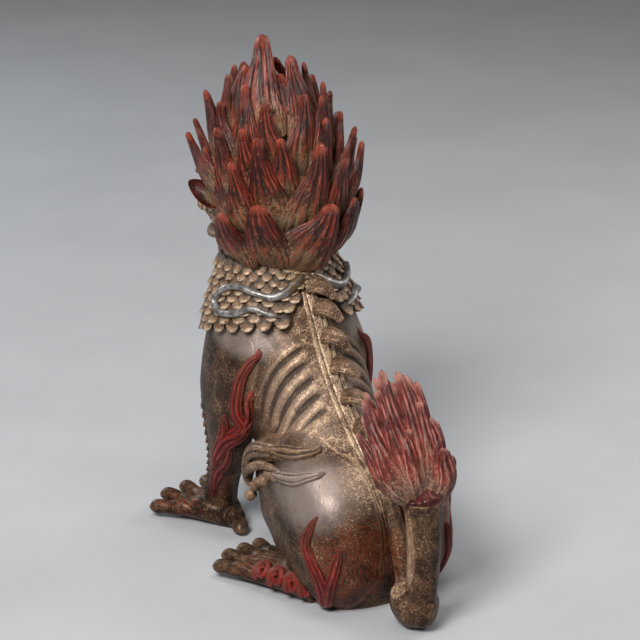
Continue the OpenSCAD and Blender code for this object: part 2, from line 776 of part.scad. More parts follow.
module fourth_locks() {
    color(lacquer) casting() difference() {
        tier(fourth);
        core_solid();
        skull_body();
        tier(crown);
    }
}
module third_locks() {
    color(lacquer) casting() difference() {
        tier(third);
        core_solid();
        skull_body();
        tier(crown);
        tier(fourth);
    }
}
module second_locks() {
    color(lacquer) casting() difference() {
        tier(second);
        core_solid();
        skull_body();
        tier(crown);
        tier(fourth);
        tier(third);
    }
}
module nape_locks() {
    color(lacquer) casting() difference() {
        tier(nape);
        core_solid();
        skull_body();
        tier(crown);
        tier(fourth);
        tier(third);
        tier(second);
        collar_body();
    }
}

// Tail: it runs down the rump, turns up at the ground and carries the plume
rump_y = mid_y + body_l / 2;
stem_y = rump_y + 38;
module rump_strip() {
    limb([[0, rump_y - 10, body_h * 0.38, 5.5], [0, rump_y + 3, body_h * 0.283, 6.5],
        [0, rump_y + 12, body_h * 0.186, 7.5], [0, rump_y + 20, 22, 9]], 6, 8, [1, 0, 0]);
}
module stem_body() {
    rump_strip();
    translate([0, rump_y + 29, 16]) scale([15, 20, 16.5] / 10) sphere(10, $fn = 12);
    limb([[0, stem_y - 6, 14, stem_w * 0.5], [0, stem_y + 2, 36, stem_w * 0.47],
        [0, stem_y + 3, stem_h * 0.7, stem_w * 0.45], [0, stem_y, stem_h, stem_w * 0.5]], 6, 10, [1, 0, 0]);
}
module plume_socket(gap) {
    translate([0, stem_y, stem_h - 14 - gap]) cylinder(r = plume_tenon_r + gap, h = 24, $fn = 48);
}
module plume_pin_shafts(gap) {
    for (k = [-1:1])
        translate([k * plume_tenon_r * 0.56, stem_y, stem_h - 5]) rotate([90, 0, 0])
            cylinder(r = 1.2 + gap, h = stem_w * 0.84, center = true, $fn = 24);
}
module tail_stem() {
    color(bronze) difference() {
        casting() above_ground() difference() {
            stem_body();
            trunk_body();
            both_sides() hind_leg_body();
        }
        plume_socket(fit);
        plume_pin_shafts(fit);
    }
}
// Plume fingers [tip x, tip set forward, tip height share, width]
fingers = [[35, 22, 0.54, 13], [29, 30, 0.72, 13], [22, 33, 0.88, 13], [14, 34, 1, 13], [4, 33, 0.98, 13],
    [-3, 31, 0.92, 13], [-7, 24, 0.75, 13], [-11, 15, 0.62, 14], [-17, 1, 0.4, 15], [12, 13, 0.66, 14]];
module plume_body() {
    translate([0, stem_y, stem_h + 6]) scale([14, 12, 10] / 10) sphere(10, $fn = 12);
    for (f = fingers)
        lock([[f[0] * 0.34, stem_y - 2, stem_h + 2],
            [f[0] * 1.1, stem_y + 3, stem_h + plume_h * (0.12 + 0.28 * f[2])],
            [f[0], stem_y - f[1], stem_h + plume_h * f[2]]], [0, 1, 0], f[3] * 1.3, 0.6);
}
module tail_plume() {
    color(lacquer) difference() {
        union() {
            casting() difference() {
                plume_body();
                stem_body();
                trunk_body();
            }
            translate([0, stem_y, stem_h - 14]) cylinder(r = plume_tenon_r, h = 18, $fn = 48);
        }
        plume_pin_shafts(fit);
    }
}

// Locking pins
module plume_pins() {
    color(iron) plume_pin_shafts(0);
}
module neck_pin() {
    color(iron) neck_pin_shaft(0);
}
module front_leg_pins() {
    color(iron) both_sides() leg_pin_shaft(front_tenon, 0);
}
module hind_leg_pins() {
    color(iron) both_sides() leg_pin_shaft(hind_tenon, 0);
}

trunk_shell();
scale_collar();
left_ribbon();
right_ribbon();
spine_band();
dorsal_fins();
left_foreleg();
right_foreleg();
left_hind_leg();
right_hind_leg();
left_shoulder_flame();
right_shoulder_flame();
left_thigh_flame();
right_thigh_flame();
left_knee_guard();
right_knee_guard();
left_heel_curls();
right_heel_curls();
skull();
lower_jaw();
tongue();
fangs();
left_eye();
right_eye();
left_ear();
right_ear();
left_brow();
right_brow();
cheek_curls();
beard();
horn();
mane_core();
nape_locks();
second_locks();
third_locks();
fourth_locks();
crown_locks();
tail_stem();
tail_plume();
plume_pins();
neck_pin();
front_leg_pins();
hind_leg_pins();
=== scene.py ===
# %% [markdown]
# # A seated qilin in lacquered bronze
# The real thing is a beast cast in dark bronze, pegged together from several castings, then gilded and painted
# with red lacquer that has worn away with age. The frame holds its measured pieces. This lesson dresses
# each one: it is wrapped, fused, carved and coloured in its own place, so nothing has to be fitted afterwards.

# %% Load the frame
import math

import bpy
import numpy as np
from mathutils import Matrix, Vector
from mathutils.bvhtree import BVHTree


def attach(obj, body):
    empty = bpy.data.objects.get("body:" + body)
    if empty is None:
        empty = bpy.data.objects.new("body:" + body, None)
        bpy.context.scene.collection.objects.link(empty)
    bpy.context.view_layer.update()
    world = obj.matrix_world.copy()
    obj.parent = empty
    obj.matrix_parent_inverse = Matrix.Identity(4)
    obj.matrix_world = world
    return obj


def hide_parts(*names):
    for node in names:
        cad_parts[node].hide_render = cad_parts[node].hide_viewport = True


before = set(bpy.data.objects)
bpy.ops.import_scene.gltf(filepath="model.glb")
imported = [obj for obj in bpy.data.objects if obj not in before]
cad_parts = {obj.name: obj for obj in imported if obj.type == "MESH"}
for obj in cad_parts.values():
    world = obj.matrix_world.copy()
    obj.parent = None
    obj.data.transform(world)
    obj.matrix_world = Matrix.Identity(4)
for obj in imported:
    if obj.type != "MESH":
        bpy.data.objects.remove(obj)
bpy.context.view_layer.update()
print("frame pieces:", len(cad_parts))

# %% [markdown]
# ## Camera, floor and light
# The photograph looks down on the beast from behind and to its left, with a long lens. The camera is placed on
# that line first, because every later look is judged through it. A floor that curves up all round, like a dish,
# gives a plain ground with a soft shadow and no horizon from any side. Four large lamps stand for the soft boxes of
# a studio: the strong one is behind the beast's left shoulder, the others only lift the shade.

# %% Camera
AIM, DISTANCE = Vector((0.0006, -0.0069, 0.188)), 1.8
azimuth, elevation = math.radians(150), math.radians(21)
away = Vector((math.sin(azimuth) * math.cos(elevation), -math.cos(azimuth) * math.cos(elevation),
               math.sin(elevation)))
bpy.ops.object.select_all(action="DESELECT")
bpy.ops.object.camera_add(location=AIM + away * DISTANCE)
camera = bpy.context.object
camera.rotation_euler = (-away).to_track_quat("-Z", "Y").to_euler()
camera.data.lens = 139
camera.data.sensor_width = 36
camera.data.clip_start = 0.05
camera.data.clip_end = 20
bpy.context.scene.camera = camera
bpy.context.scene.view_settings.view_transform = "Standard"
print("camera at", [round(v, 3) for v in camera.location])

# %% Floor that curves up all round
DISH = ((1.08, 0.02), (1.07, 0.06), (1.055, 0.11), (1.04, 0.17), (1.025, 0.24), (1.01, 0.6), (1, 1.2))
bpy.ops.mesh.primitive_circle_add(vertices=96, radius=2.4, fill_type="NGON")
floor = bpy.context.object
floor.name = "studio_floor"
bpy.ops.object.mode_set(mode="EDIT")
bpy.ops.mesh.select_mode(type="EDGE")
for spread, rise in DISH:
    bpy.ops.mesh.select_all(action="DESELECT")
    bpy.ops.mesh.select_non_manifold()
    bpy.ops.mesh.extrude_edges_move()
    bpy.ops.transform.resize(value=(spread, spread, 1))
    bpy.ops.transform.translate(value=(0, 0, rise))
bpy.ops.object.mode_set(mode="OBJECT")
bpy.ops.object.shade_smooth_by_angle(angle=math.radians(40))
print("floor in m:", [round(v, 2) for v in floor.dimensions])


# %% Soft boxes
def soft_box(name, place, aim, size, power, tint=(1, 1, 1)):
    bpy.ops.object.light_add(type="AREA", location=place)
    lamp = bpy.context.object
    lamp.name = name
    lamp.data.shape = "DISK"
    lamp.data.size = size
    lamp.data.energy = power
    lamp.data.color = tint
    lamp.rotation_euler = (Vector(place) - Vector(aim)).to_track_quat("Z", "Y").to_euler()


soft_box("box_left", (1.0, 0.7, 1.35), (0, 0, 0.18), 0.7, 38)
soft_box("box_above", (0.0, 0.2, 1.7), (0, 0, 0.15), 0.8, 9)
soft_box("box_right", (-1.2, 0.0, 0.9), (0, 0, 0.2), 0.8, 8)
soft_box("box_front", (0.4, -1.6, 0.7), (0, 0, 0.2), 0.6, 8, (0.86, 0.96, 1))
world = bpy.data.worlds.new("studio_air")
bpy.context.scene.world = world
world.use_nodes = True
air = world.node_tree.nodes["Background"].inputs
air["Color"].default_value = (0.95, 0.97, 1, 1)
air["Strength"].default_value = 0.07

# %% [markdown]
# ## Reading a form from a few measured rows
# A cast body has no straight lines: its maker cut a clay form along a handful of sections. A table of such
# sections, read as one smooth curve, gives the form between them. Sizes in the tables are millimetres, and
# Blender's are metres, so lengths change unit where they go into a mesh or come out of it.

# %% Curves and sections
MM, PER_METRE = 0.001, 1000


def read_rows(rows, u):
    """The rows of a table read as one smooth curve, with u from 0 at the first row to 1 at the last."""
    rows = np.asarray(rows, float)
    last = len(rows) - 1
    s = np.clip(np.atleast_1d(u), 0, 1) * last
    i = np.minimum(s.astype(int), last - 1)
    f = (s - i)[:, None]
    a, b, c, d = rows[np.maximum(i - 1, 0)], rows[i], rows[i + 1], rows[np.minimum(i + 2, last)]
    return 0.5 * (2 * b + (c - a) * f + (2 * a - 5 * b + 4 * c - d) * f**2 + (3 * b - a - 3 * c + d) * f**3)


def unit(v):
    return v / np.maximum(np.linalg.norm(v, axis=-1, keepdims=True), 1e-9)


def ease(low, high, x):
    """A soft step from 0 at low to 1 at high."""
    s = np.clip((x - low) / (high - low), 0, 1)
    return s * s * (3 - 2 * s)


def bow(s):
    """A sine or cosine made a little fuller, for sections that are rounder than an ellipse."""
    return np.sign(s) * np.abs(s) ** 0.92


# %% The trunk's form
BODY_H, BODY_L, MID_Y = 226, 212, -7.9
NECK_Y = MID_Y - 0.3 * BODY_L
TRUNK = np.array([
    [-0.135, 1, -0.465, 1, 40], [-0.1, 0.925, -0.5, 0.85, 47], [-0.036, 0.84, -0.53, 0.717, 50],
    [0.045, 0.717, -0.525, 0.575, 51], [0.155, 0.593, -0.42, 0.443, 47], [0.282, 0.487, -0.24, 0.345, 43],
    [0.404, 0.398, -0.066, 0.243, 45.6], [0.484, 0.283, 0.056, 0.142, 50], [0.498, 0.15, 0.15, 0.062, 46],
    [0.46, 0, 0.207, 0, 36]]) * [BODY_L, BODY_H, BODY_L, BODY_H, 1]


def trunk_at(u, t, off=0):
    """Points on the trunk: u runs from the neck rim to the seat, t turns from the back over its left side."""
    r = read_rows(TRUNK, u)
    turn = np.radians(np.atleast_1d(t))
    mid, half = (r[:, 0:2] + r[:, 2:4]) / 2, (r[:, 0:2] - r[:, 2:4]) / 2
    k = 1 + off / np.linalg.norm(half, axis=1)
    at = mid + half * (k * bow(np.cos(turn)))[:, None]
    return np.column_stack(((r[:, 4] + off) * bow(np.sin(turn)), MID_Y + at[:, 0], np.maximum(0, at[:, 1])))


print("neck axis at y", round(NECK_Y, 1), "mm, back of the rump at", trunk_at(0.8, 0).round(1))

# %% [markdown]
# ## Wrapping a grid
# A grid of faces is the simplest sheet in Blender. Its points can be moved so that the sheet wraps round a form,
# its two long edges meet and its two short ends draw together. Merging the doubles then makes one closed skin.
# The same helper makes a trunk, a toe and a lock of hair, so it is written once.


# %% Points and marks of a piece
def pick(*pieces):
    """Select these pieces alone, with the first one active."""
    bpy.ops.object.select_all(action="DESELECT")
    for piece in pieces:
        piece.select_set(True)
    if pieces:
        bpy.context.view_layer.objects.active = pieces[0]


def tell(*pieces):
    for piece in pieces:
        print(piece.name, "faces:", len(piece.data.polygons))


def read_points(piece, layer="vertices", key="co"):
    flat = np.empty(len(piece.data.vertices) * 3)
    getattr(piece.data, layer).foreach_get(key, flat)
    return flat.reshape(-1, 3)


def read_normals(piece):
    return read_points(piece, "vertex_normals", "vector")


def write_points(piece, points):
    piece.data.vertices.foreach_set("co", np.ascontiguousarray(points).ravel())
    piece.data.update()


def grounded(points):
    """The same points, with none below the ground."""
    return np.maximum(points, [-np.inf, -np.inf, 0])


def mark(piece, key, value):
    """Keep a number at each point of a piece, or one number for all, that the finish reads later."""
    layer = piece.data.attributes.get(key) or piece.data.attributes.new(key, "FLOAT", "POINT")
    layer.data.foreach_set("value", np.full(len(layer.data), value, np.float32))


# %% Wrap a grid round a form
def wrap(name, along, around, place):
    """A closed skin: place(u, v) gives points in mm and a dictionary of marks."""
    pick()
    bpy.ops.mesh.primitive_grid_add(x_subdivisions=along, y_subdivisions=around, size=2)
    piece = bpy.context.object
    piece.name = piece.data.name = name
    u, v = (read_points(piece)[:, :2].T + 1) / 2
    points, marks = place(u, v)
    for end in (0, 1):
        ring = np.abs(u - end) < 1e-6
        points[ring] = points[ring].mean(axis=0)
    write_points(piece, grounded(points) * MM)
    for key, value in marks.items():
        mark(piece, key, value)
    bpy.ops.object.mode_set(mode="EDIT")
    bpy.ops.mesh.select_all(action="SELECT")
    bpy.ops.mesh.remove_doubles(threshold=1e-6)
    bpy.ops.mesh.normals_make_consistent(inside=False)
    bpy.ops.object.mode_set(mode="OBJECT")
    bpy.ops.object.shade_smooth()
    return piece


# %% Join, fuse and mirror
def join(name, pieces):
    pick(*pieces)
    bpy.ops.object.join()
    pieces[0].name = pieces[0].data.name = name
    return pieces[0]


def modify(piece, kind, **settings):
    pick(piece)
    bpy.ops.object.modifier_add(type=kind)
    modifier = piece.modifiers[-1]
    for key, value in settings.items():
        setattr(modifier, key, value)
    bpy.ops.object.modifier_apply(modifier=modifier.name)


def fuse(name, pieces, voxel, rounds):
    """Several skins melted into one, as clay is: voxel is the grain in mm, rounds is how often it is stroked."""
    whole = join(name, pieces)
    modify(whole, "REMESH", mode="VOXEL", voxel_size=voxel * MM, use_smooth_shade=True)
    modify(whole, "SMOOTH", factor=0.5, iterations=rounds)
    write_points(whole, grounded(read_points(whole)))
    return whole


def mirrored(piece, name):
    """The right-hand twin of a left-hand piece, with its own mesh and its faces turned outwards again."""
    twin = bpy.data.objects.new(name, piece.data.copy())
    bpy.context.scene.collection.objects.link(twin)
    twin.data.name = name
    write_points(twin, read_points(twin) * [-1, 1, 1])
    twin.data.flip_normals()
    return twin


# %% [markdown]
# ## The trunk
# The trunk is a hollow bronze casting, open underneath. One grid can make it whole: it runs down the outside,
# turns in at the seat and climbs up the inside. The ribs are pressed into the sheet as soft valleys, because on
# the real flank they are furrows between broad rounded bars.


# %% Ribs as furrows
RIB_START, RIB_STEP, RIB_SWEEP, RIB_DEPTH = 0.297, 0.038, 0.115, 3.4


def rib_furrows(u, t):
    """How far the flank stands out, in mm: the furrows sweep back as they run down from the spine."""
    side = np.minimum(t, 360 - t)
    sweep = RIB_SWEEP * (side / 64) ** 2
    k = (u - RIB_START - sweep) / RIB_STEP
    furrow = np.exp(-(((k - np.round(k)) / 0.22) ** 2))
    reach = ease(9, 26, side) * (1 - ease(58, 76, side)) * ease(-0.6, -0.1, k) * (1 - ease(4.3, 5.2, k))
    return reach * (1.2 - RIB_DEPTH * furrow)


# %% Trunk skin
OUTSIDE, CLIMB, WALL = 0.84, 0.86, 4.5


def trunk_skin(u, v):
    """The outside takes most of the grid, and the inside climbs back up a wall's thickness away."""
    outside = u < OUTSIDE
    run = np.where(outside, u / OUTSIDE, 1 - (u - OUTSIDE) / (1 - OUTSIDE) * CLIMB)
    off = np.where(outside, rib_furrows(run, 360 * v), -WALL)
    return trunk_at(run, 360 * v, off), {}


trunk = wrap("bronze_trunk", 250, 200, trunk_skin)
tell(trunk)

# %% [markdown]
# ## Legs and feet
# Each leg is one form on the real beast: shoulder, shank, paw and toes flow into each other. Here they start as
# separate wrapped skins, which overlap like lumps of clay. A voxel remesh melts them into one skin and a few
# rounds of smoothing take the grain off, which no single primitive could do.

# %% The front leg's form
ELBOW_Y, ANKLE_Y, STANCE = MID_Y - 0.26 * BODY_L, MID_Y - 0.405 * BODY_L, 39
LEG = [[38, ELBOW_Y + 3, 180, 5, 26], [44, ELBOW_Y + 3, 156, 12, 34], [48.6, ELBOW_Y, 124.3, 14.5, 33],
       [47.5, ELBOW_Y, 97.2, 15.5, 25], [STANCE + 6, ELBOW_Y - 5, 70, 14.5, 17.5],
       [STANCE + 3, ANKLE_Y + 12, 43, 12, 13.5], [STANCE, ANKLE_Y, 22.6, 12.5, 14.5],
       [STANCE, ANKLE_Y - 2, 6.8, 13, 16]]


def leg_at(u, t):
    r, turn = read_rows(LEG, u), np.radians(np.atleast_1d(t))
    return np.column_stack((r[:, 0] + r[:, 3] * np.sin(turn), r[:, 1] + r[:, 4] * np.cos(turn), r[:, 2]))


# %% Feet
def compass(deg, z=0.0):
    """A direction on the ground, turned from the tail's end of the beast towards its left, and z for a slope."""
    return np.array([math.sin(math.radians(deg)), math.cos(math.radians(deg)), z])


def heading(deg):
    """The same, turned from straight ahead."""
    return compass(deg) * [1, -1, 1]


SPLAY, TOE = 20, 13.5
AHEAD = heading(SPLAY)
ASIDE = np.cross([0, 0, 1], AHEAD)
FRONT_HEEL, FRONT_LENGTH = np.array([STANCE, ANKLE_Y, 0]) - AHEAD * 15, 70
PAW = [[0, 9, 13], [0.14, 15, 23], [0.34, 19, 24], [0.52, 21, 19], [0.64, 19, 13]]


def foot_at(heel, length, rows):
    """The form of a foot without its toes, from rows [share of the length, half width, height]."""
    def surface(u, t):
        r, turn = read_rows(rows, u), np.radians(np.atleast_1d(t))
        rise = r[:, 2] / 2 * (1 + bow(np.sin(turn))) - 1
        points = heel + r[:, :1] * length * AHEAD + (r[:, 1] * np.cos(turn))[:, None] * ASIDE
        return points + np.outer(np.maximum(rise, 0), [0, 0, 1])
    return surface


# %% Limbs: round forms along a bent path
def limb_skin(rows, out=(0, 0, 1)):
    """A round skin along rows [x, y, z, radius]."""
    def place(u, v):
        r = read_rows(rows, u)
        tangent = unit(read_rows(rows, np.minimum(u + 0.01, 1)) - read_rows(rows, np.maximum(u - 0.01, 0)))[:, :3]
        side = unit(np.cross(np.asarray(out, float), tangent))
        up = np.cross(tangent, side)
        turn = 2 * math.pi * v
        points = r[:, :3] + r[:, 3:4] * (side * np.cos(turn)[:, None] + up * np.sin(turn)[:, None])
        return points, {}
    return place


def toes(heel, length, roots, apart, fan):
    """Four finger-like toes in a fan, each with a knuckle and a rounded, lifted end."""
    made = []
    for k in (-1.5, -0.5, 0.5, 1.5):
        root = heel + AHEAD * roots * length + ASIDE * k * TOE * apart
        way = heading(SPLAY + k * fan)
        reach = length * (1 - roots) - abs(k - 0.3) * 3.4
        tip = 0.16 if k > 1 else 0.34
        # how far along the toe, its height and its radius
        steps = [(-0.3, 0.8, 0.44), (0.05, 0.84, 0.46), (0.28, 0.8, 0.48), (0.48, 0.66 + tip / 3, 0.42),
                 (0.66, 0.6 + tip * 0.8, 0.41), (0.8, 0.54 + tip, 0.42), (0.91, 0.5 + tip, 0.35),
                 (0.97, 0.47 + tip, 0.22), (1.0, 0.44 + tip, 0.06)]
        rows = [[*(root + way * reach * a + [0, 0, TOE * z]), TOE * r] for a, z, r in steps]
        made.append(wrap("toe", 48, 24, limb_skin(rows)))
    return made


# %% Hair lines and scales on a leg
def carve(piece, rise):
    """Move the skin out, or in where rise gives less than 0. Rise reads points in mm and normals."""
    points, normals = read_points(piece) * PER_METRE, read_normals(piece)
    write_points(piece, (points + normals * rise(points, normals)[:, None]) * MM)


def comb_instep(piece, heel, length, start, end):
    """Shallow hair lines that run from the ankle to the toes."""
    def rise(points, normals):
        along, across = (points - heel) @ AHEAD / length, (points - heel) @ ASIDE
        groove = (1 - np.abs(np.sin(math.pi * across / 4.6 + 5 * along))) ** 2
        mask = ease(start, start + 0.1, along) * (1 - ease(end - 0.1, end, along)) * ease(0.1, 0.5, normals[:, 2])
        return -1.1 * groove * mask * (1 - ease(24, 30, points[:, 2]))
    carve(piece, rise)


def front_scales(points, normals):
    """A row of small overlapping scales down the front edge of the leg."""
    rows, z = np.array(LEG)[::-1], points[:, 2]
    x, y, wide, deep = (np.interp(z, rows[:, 2], rows[:, k]) for k in (0, 1, 3, 4))
    turn = np.degrees(np.arctan2((points[:, 0] - x) / wide, (points[:, 1] - y) / deep))
    mask = (1 - ease(9, 18, np.abs(turn - 128))) * ease(24, 34, z) * (1 - ease(104, 116, z))
    return 2.2 * (1 - (z / 7) % 1) * mask


# %% Front leg fused
def clay(name, surface, along=70, around=56):
    return wrap(name, along, around, lambda u, v: (surface(u, 360 * v), {}))


SPUR = [[0, -6, 9, 8], [2, 4, 8.5, 8], [3, 10, 7.4, 6], [4, 15, 6.6, 6.4], [5, 20, 5.6, 4.6], [5, 23, 5, 1.5]]
parts = [clay("shank", leg_at), clay("paw", foot_at(FRONT_HEEL, FRONT_LENGTH, PAW), 40, 40)]
parts += toes(FRONT_HEEL, FRONT_LENGTH, 0.46, 0.78, 17)
parts.append(wrap("spur", 30, 24, limb_skin([[*(FRONT_HEEL + row[:3]), row[3]] for row in SPUR])))
left_foreleg = fuse("bronze_left_foreleg", parts, 0.9, 4)
comb_instep(left_foreleg, FRONT_HEEL, FRONT_LENGTH, 0.3, 0.56)
carve(left_foreleg, front_scales)
tell(left_foreleg)

# %% The hind leg's form
THIGH_X, THIGH_Y, THIGH_Z = 61, MID_Y + 0.29 * BODY_L, 50
THIGH = [[0.2 * THIGH_X, THIGH_Y, THIGH_Z, 0.9], [0.48 * THIGH_X, THIGH_Y, THIGH_Z, 0.99],
         [0.7 * THIGH_X, THIGH_Y - 1, THIGH_Z + 1, 0.95], [0.86 * THIGH_X, THIGH_Y - 3, THIGH_Z + 3, 0.8],
         [0.95 * THIGH_X, THIGH_Y - 5, THIGH_Z + 5, 0.56], [THIGH_X, THIGH_Y - 6, THIGH_Z + 6, 0.2]]
# how far the thigh reaches, every 30 degrees round its middle
THIGH_REACH = np.array([48, 51, 53, 58, 74, 85, 68, 49, 38, 44, 53, 51.0])


def thigh_at(u, t):
    r, t = read_rows(THIGH, u), np.atleast_1d(t) % 360
    i = np.floor(t / 30).astype(int)
    f = (1 - np.cos(np.pi * (t / 30 - i))) / 2
    reach = THIGH_REACH[i % 12] * (1 - f) + THIGH_REACH[(i + 1) % 12] * f
    k, turn = r[:, 3] * reach, np.radians(t)
    return np.column_stack((r[:, 0], r[:, 1] + k * np.cos(turn), np.maximum(0, r[:, 2] + k * np.sin(turn))))


HIND_HEEL, HIND_LENGTH = np.array([0.63 * THIGH_X, THIGH_Y + 6, 0]), 90
HIND = [[0, 12, 18], [0.15, 17, 26], [0.4, 18, 24], [0.62, 20, 20], [0.74, 19, 13]]
hind_sole = foot_at(HIND_HEEL, HIND_LENGTH, HIND)

# %% Hind leg fused
parts = [clay("haunch", thigh_at, 80, 90), clay("sole", hind_sole, 44, 40)]
parts += toes(HIND_HEEL, HIND_LENGTH, 0.6, 0.74, 9)
left_hind_leg = fuse("bronze_left_hind_leg", parts, 1.0, 5)
comb_instep(left_hind_leg, HIND_HEEL, HIND_LENGTH, 0.36, 0.7)
tell(left_hind_leg)

# %% [markdown]
# ## The tail
# The tail runs down the rump as a strip of hair, meets the ground in a bulb and stands up again as a stem. It is
# fused like the legs, but its skins are combed first: shallow grooves along the strip and the stem survive the
# remesh and read as hair.

# %% Tail form
RUMP_Y = MID_Y + BODY_L / 2
STEM_Y = RUMP_Y + 38
STRIP = [[0, RUMP_Y - 10, 86, 5.5], [0, RUMP_Y + 3, 64, 6.5], [0, RUMP_Y + 12, 42, 7.5], [0, RUMP_Y + 20, 22, 9]]
BULB = [[0, RUMP_Y + 6, 15, 5], [0, RUMP_Y + 13, 16, 13], [0, RUMP_Y + 25, 16.5, 16.5], [0, RUMP_Y + 37, 16.5, 16],
        [0, RUMP_Y + 46, 15, 10.5], [0, RUMP_Y + 50, 14, 4]]
STEM = [[0, STEM_Y - 6, 14, 11], [0, STEM_Y + 1, 36, 10.6], [0, STEM_Y + 3, 71.4, 11.6], [0, STEM_Y, 101.5, 13.4]]


def combed(rows, strands, depth, out, start=0.0):
    """A limb with hair lines along it, which begin at start."""
    smooth = limb_skin(rows, out)

    def place(u, v):
        points, _ = smooth(u, v)
        axis = read_rows(rows, u)[:, :3]
        groove = (1 - np.abs(np.sin(strands * math.pi * v + 2.5 * u))) ** 2
        return axis + (points - axis) * (1 - depth * groove * ease(start, start + 0.15, u))[:, None], {}
    return place


tail_stem = fuse("bronze_tail", [
    wrap("tail_strip", 60, 64, combed(STRIP, 7, 0.16, (1, 0, 0))),
    wrap("tail_bulb", 30, 40, limb_skin(BULB, (1, 0, 0))),
    wrap("tail_upright", 90, 96, combed(STEM, 9, 0.07, (1, 0, 0), 0.15))], 0.9, 2)
tell(tail_stem)

# %% [markdown]
# ## Softening the joints between castings
# Where a leg meets the trunk, the founder filled the seam and rubbed it down. Each skin near the seam is lifted
# a little towards the other, most at the seam itself, so that the two meet in a fillet and not in a crease.


# %% Fillets
def tree_of(piece):
    points, polygons = [v.co for v in piece.data.vertices], [p.vertices for p in piece.data.polygons]
    return BVHTree.FromPolygons(points, polygons)


def lift_towards(piece, other, reach):
    """A piece's points, drawn out near another piece. Reach is in metres."""
    tree, points, normals = tree_of(other), read_points(piece), read_normals(piece)
    low, high = read_points(other).min(0) - reach, read_points(other).max(0) + reach
    moved = points.copy()
    for i in np.nonzero(np.all((points > low) & (points < high), axis=1))[0]:
        spot, normal, _, gap = tree.find_nearest(Vector(points[i]), reach)
        if spot is not None:
            side = unit(normals[i] + np.array(normal))
            moved[i] = points[i] + side * reach / 4 * (1 - gap / reach) ** 2
    return moved


def fillet(a, b, reach):
    new_a, new_b = lift_towards(a, b, reach * MM), lift_towards(b, a, reach * MM)
    write_points(a, grounded(new_a))
    write_points(b, grounded(new_b))


right_foreleg = mirrored(left_foreleg, "bronze_right_foreleg")
right_hind_leg = mirrored(left_hind_leg, "bronze_right_hind_leg")
JOINTS = ((left_foreleg, 14), (right_foreleg, 14), (left_hind_leg, 20), (right_hind_leg, 20))
for leg, reach in JOINTS:
    fillet(trunk, leg, reach)
print("filleted joints:", len(JOINTS))

# %% [markdown]
# ## Relief that lies on a form
# Flames, ribbons and bands were modelled as wax strips pressed onto the form. A strip follows a line of keys on
# a surface, stands a little proud of it and has lengthwise furrows, and its underside sinks into the form.


# %% Strips on a surface
def normal_at(surface, u, t):
    return unit(np.cross(surface(u, t + 2) - surface(u, t - 2), surface(u + 0.01, t) - surface(u - 0.01, t)))


def on_form(surface, keys):
    """A line along keys [u, t, width] on a form: its spots, directions, normals and widths."""
    def line(u):
        k, ahead, behind = (read_rows(keys, np.clip(u + e, 0, 1)) for e in (0, 0.01, -0.01))
        tangent = unit(surface(ahead[:, 0], ahead[:, 1]) - surface(behind[:, 0], behind[:, 1]))
        return surface(k[:, 0], k[:, 1]), tangent, normal_at(surface, k[:, 0], k[:, 1]), k[:, 2]
    return line


def on_skin(piece, keys):
    """A line along keys [x, y, z, width] that is laid down on the nearest skin of a finished piece."""
    tree = tree_of(piece)

    def line(u):
        steps, index = np.unique(u.round(6), return_inverse=True)
        rows = read_rows(keys, steps)
        hits = [tree.find_nearest(Vector(p * MM)) for p in rows[:, :3]]
        spots, ups = np.array([h[0] for h in hits]) * PER_METRE, np.array([h[1] for h in hits])
        for _ in range(6):
            ups[1:-1] = unit(ups[:-2] + ups[1:-1] + ups[2:])
            spots[1:-1] = (spots[:-2] + 2 * spots[1:-1] + spots[2:]) / 4
        return spots[index], unit(np.gradient(spots, axis=0))[index], ups[index], rows[index, 3]
    return line


SINK = 2.0


def strip_skin(line, height, furrows, depth):
    """A strip with a rounded top and furrows along it, or a plain one where depth is 0."""
    def place(u, v):
        spot, tangent, up, width = line(u)
        side = unit(np.cross(up, tangent))
        turn = 2 * math.pi * v
        across, rise = np.cos(turn), np.sin(turn)
        comb = np.abs(np.cos(furrows * math.pi * (across + 1) / 2)) ** 0.7
        width = width * np.sqrt(np.clip(1 - (2 * np.abs(u - 0.5)) ** 24, 0, 1))
        lift = height * np.minimum(1, 0.25 + width / 6)
        top = lift * np.maximum(rise, 0) ** 0.6 * (1 - depth * (1 - comb))
        z = np.where(rise > 0, top, SINK * rise)
        points = spot + side * (across * width / 2)[:, None] + up * z[:, None]
        ridge = comb if depth else 0.85 * np.sqrt(np.abs(rise))
        return points, {"ridge": np.where(rise > 0, ridge, 0), "tip": u}
    return place


def strip(name, line, height, furrows, along=64, around=36, depth=0.35):
    return wrap(name, along, around, strip_skin(line, height, furrows, depth))


# %% Flames on the legs
# each tongue: its height, its furrows, its steps and a line of keys [x, y, z, width]
SHOULDER_FLAME = [
    (4.4, 3, 150, [[41, -27, 170, 1.5], [45, -27, 159, 6], [52, -30, 146, 8.5], [55, -33, 131, 10.5],
                   [55, -35, 117, 11], [50, -35, 106, 12], [52, -40, 97, 14], [57, -47, 90, 14], [59, -54, 80, 12],
                   [58, -61, 70, 9], [57, -66, 60, 2]]),
    (4.4, 2, 64, [[44, -9, 134, 1.5], [45, -14, 124, 7], [45, -25, 113, 10], [49, -34, 104, 11], [54, -42, 95, 7]]),
    (4.4, 2, 64, [[62, -43, 113, 1.5], [61, -44, 104, 7], [59, -48, 93, 9], [57, -54, 82, 4]]),
    (4.0, 2, 64, [[55, -46, 86, 2], [54, -53, 73, 8], [54, -62, 62, 8], [56, -68, 56, 2]]),
    (3.6, 1, 64, [[52, -60, 66, 1.5], [53, -66, 56, 7], [53, -72, 46, 6], [51, -78, 36, 1.5]]),
    (3.4, 1, 64, [[58, -72, 56, 1.5], [56, -74, 47, 5], [53, -79, 37, 5], [50, -84, 27, 1.5]])]
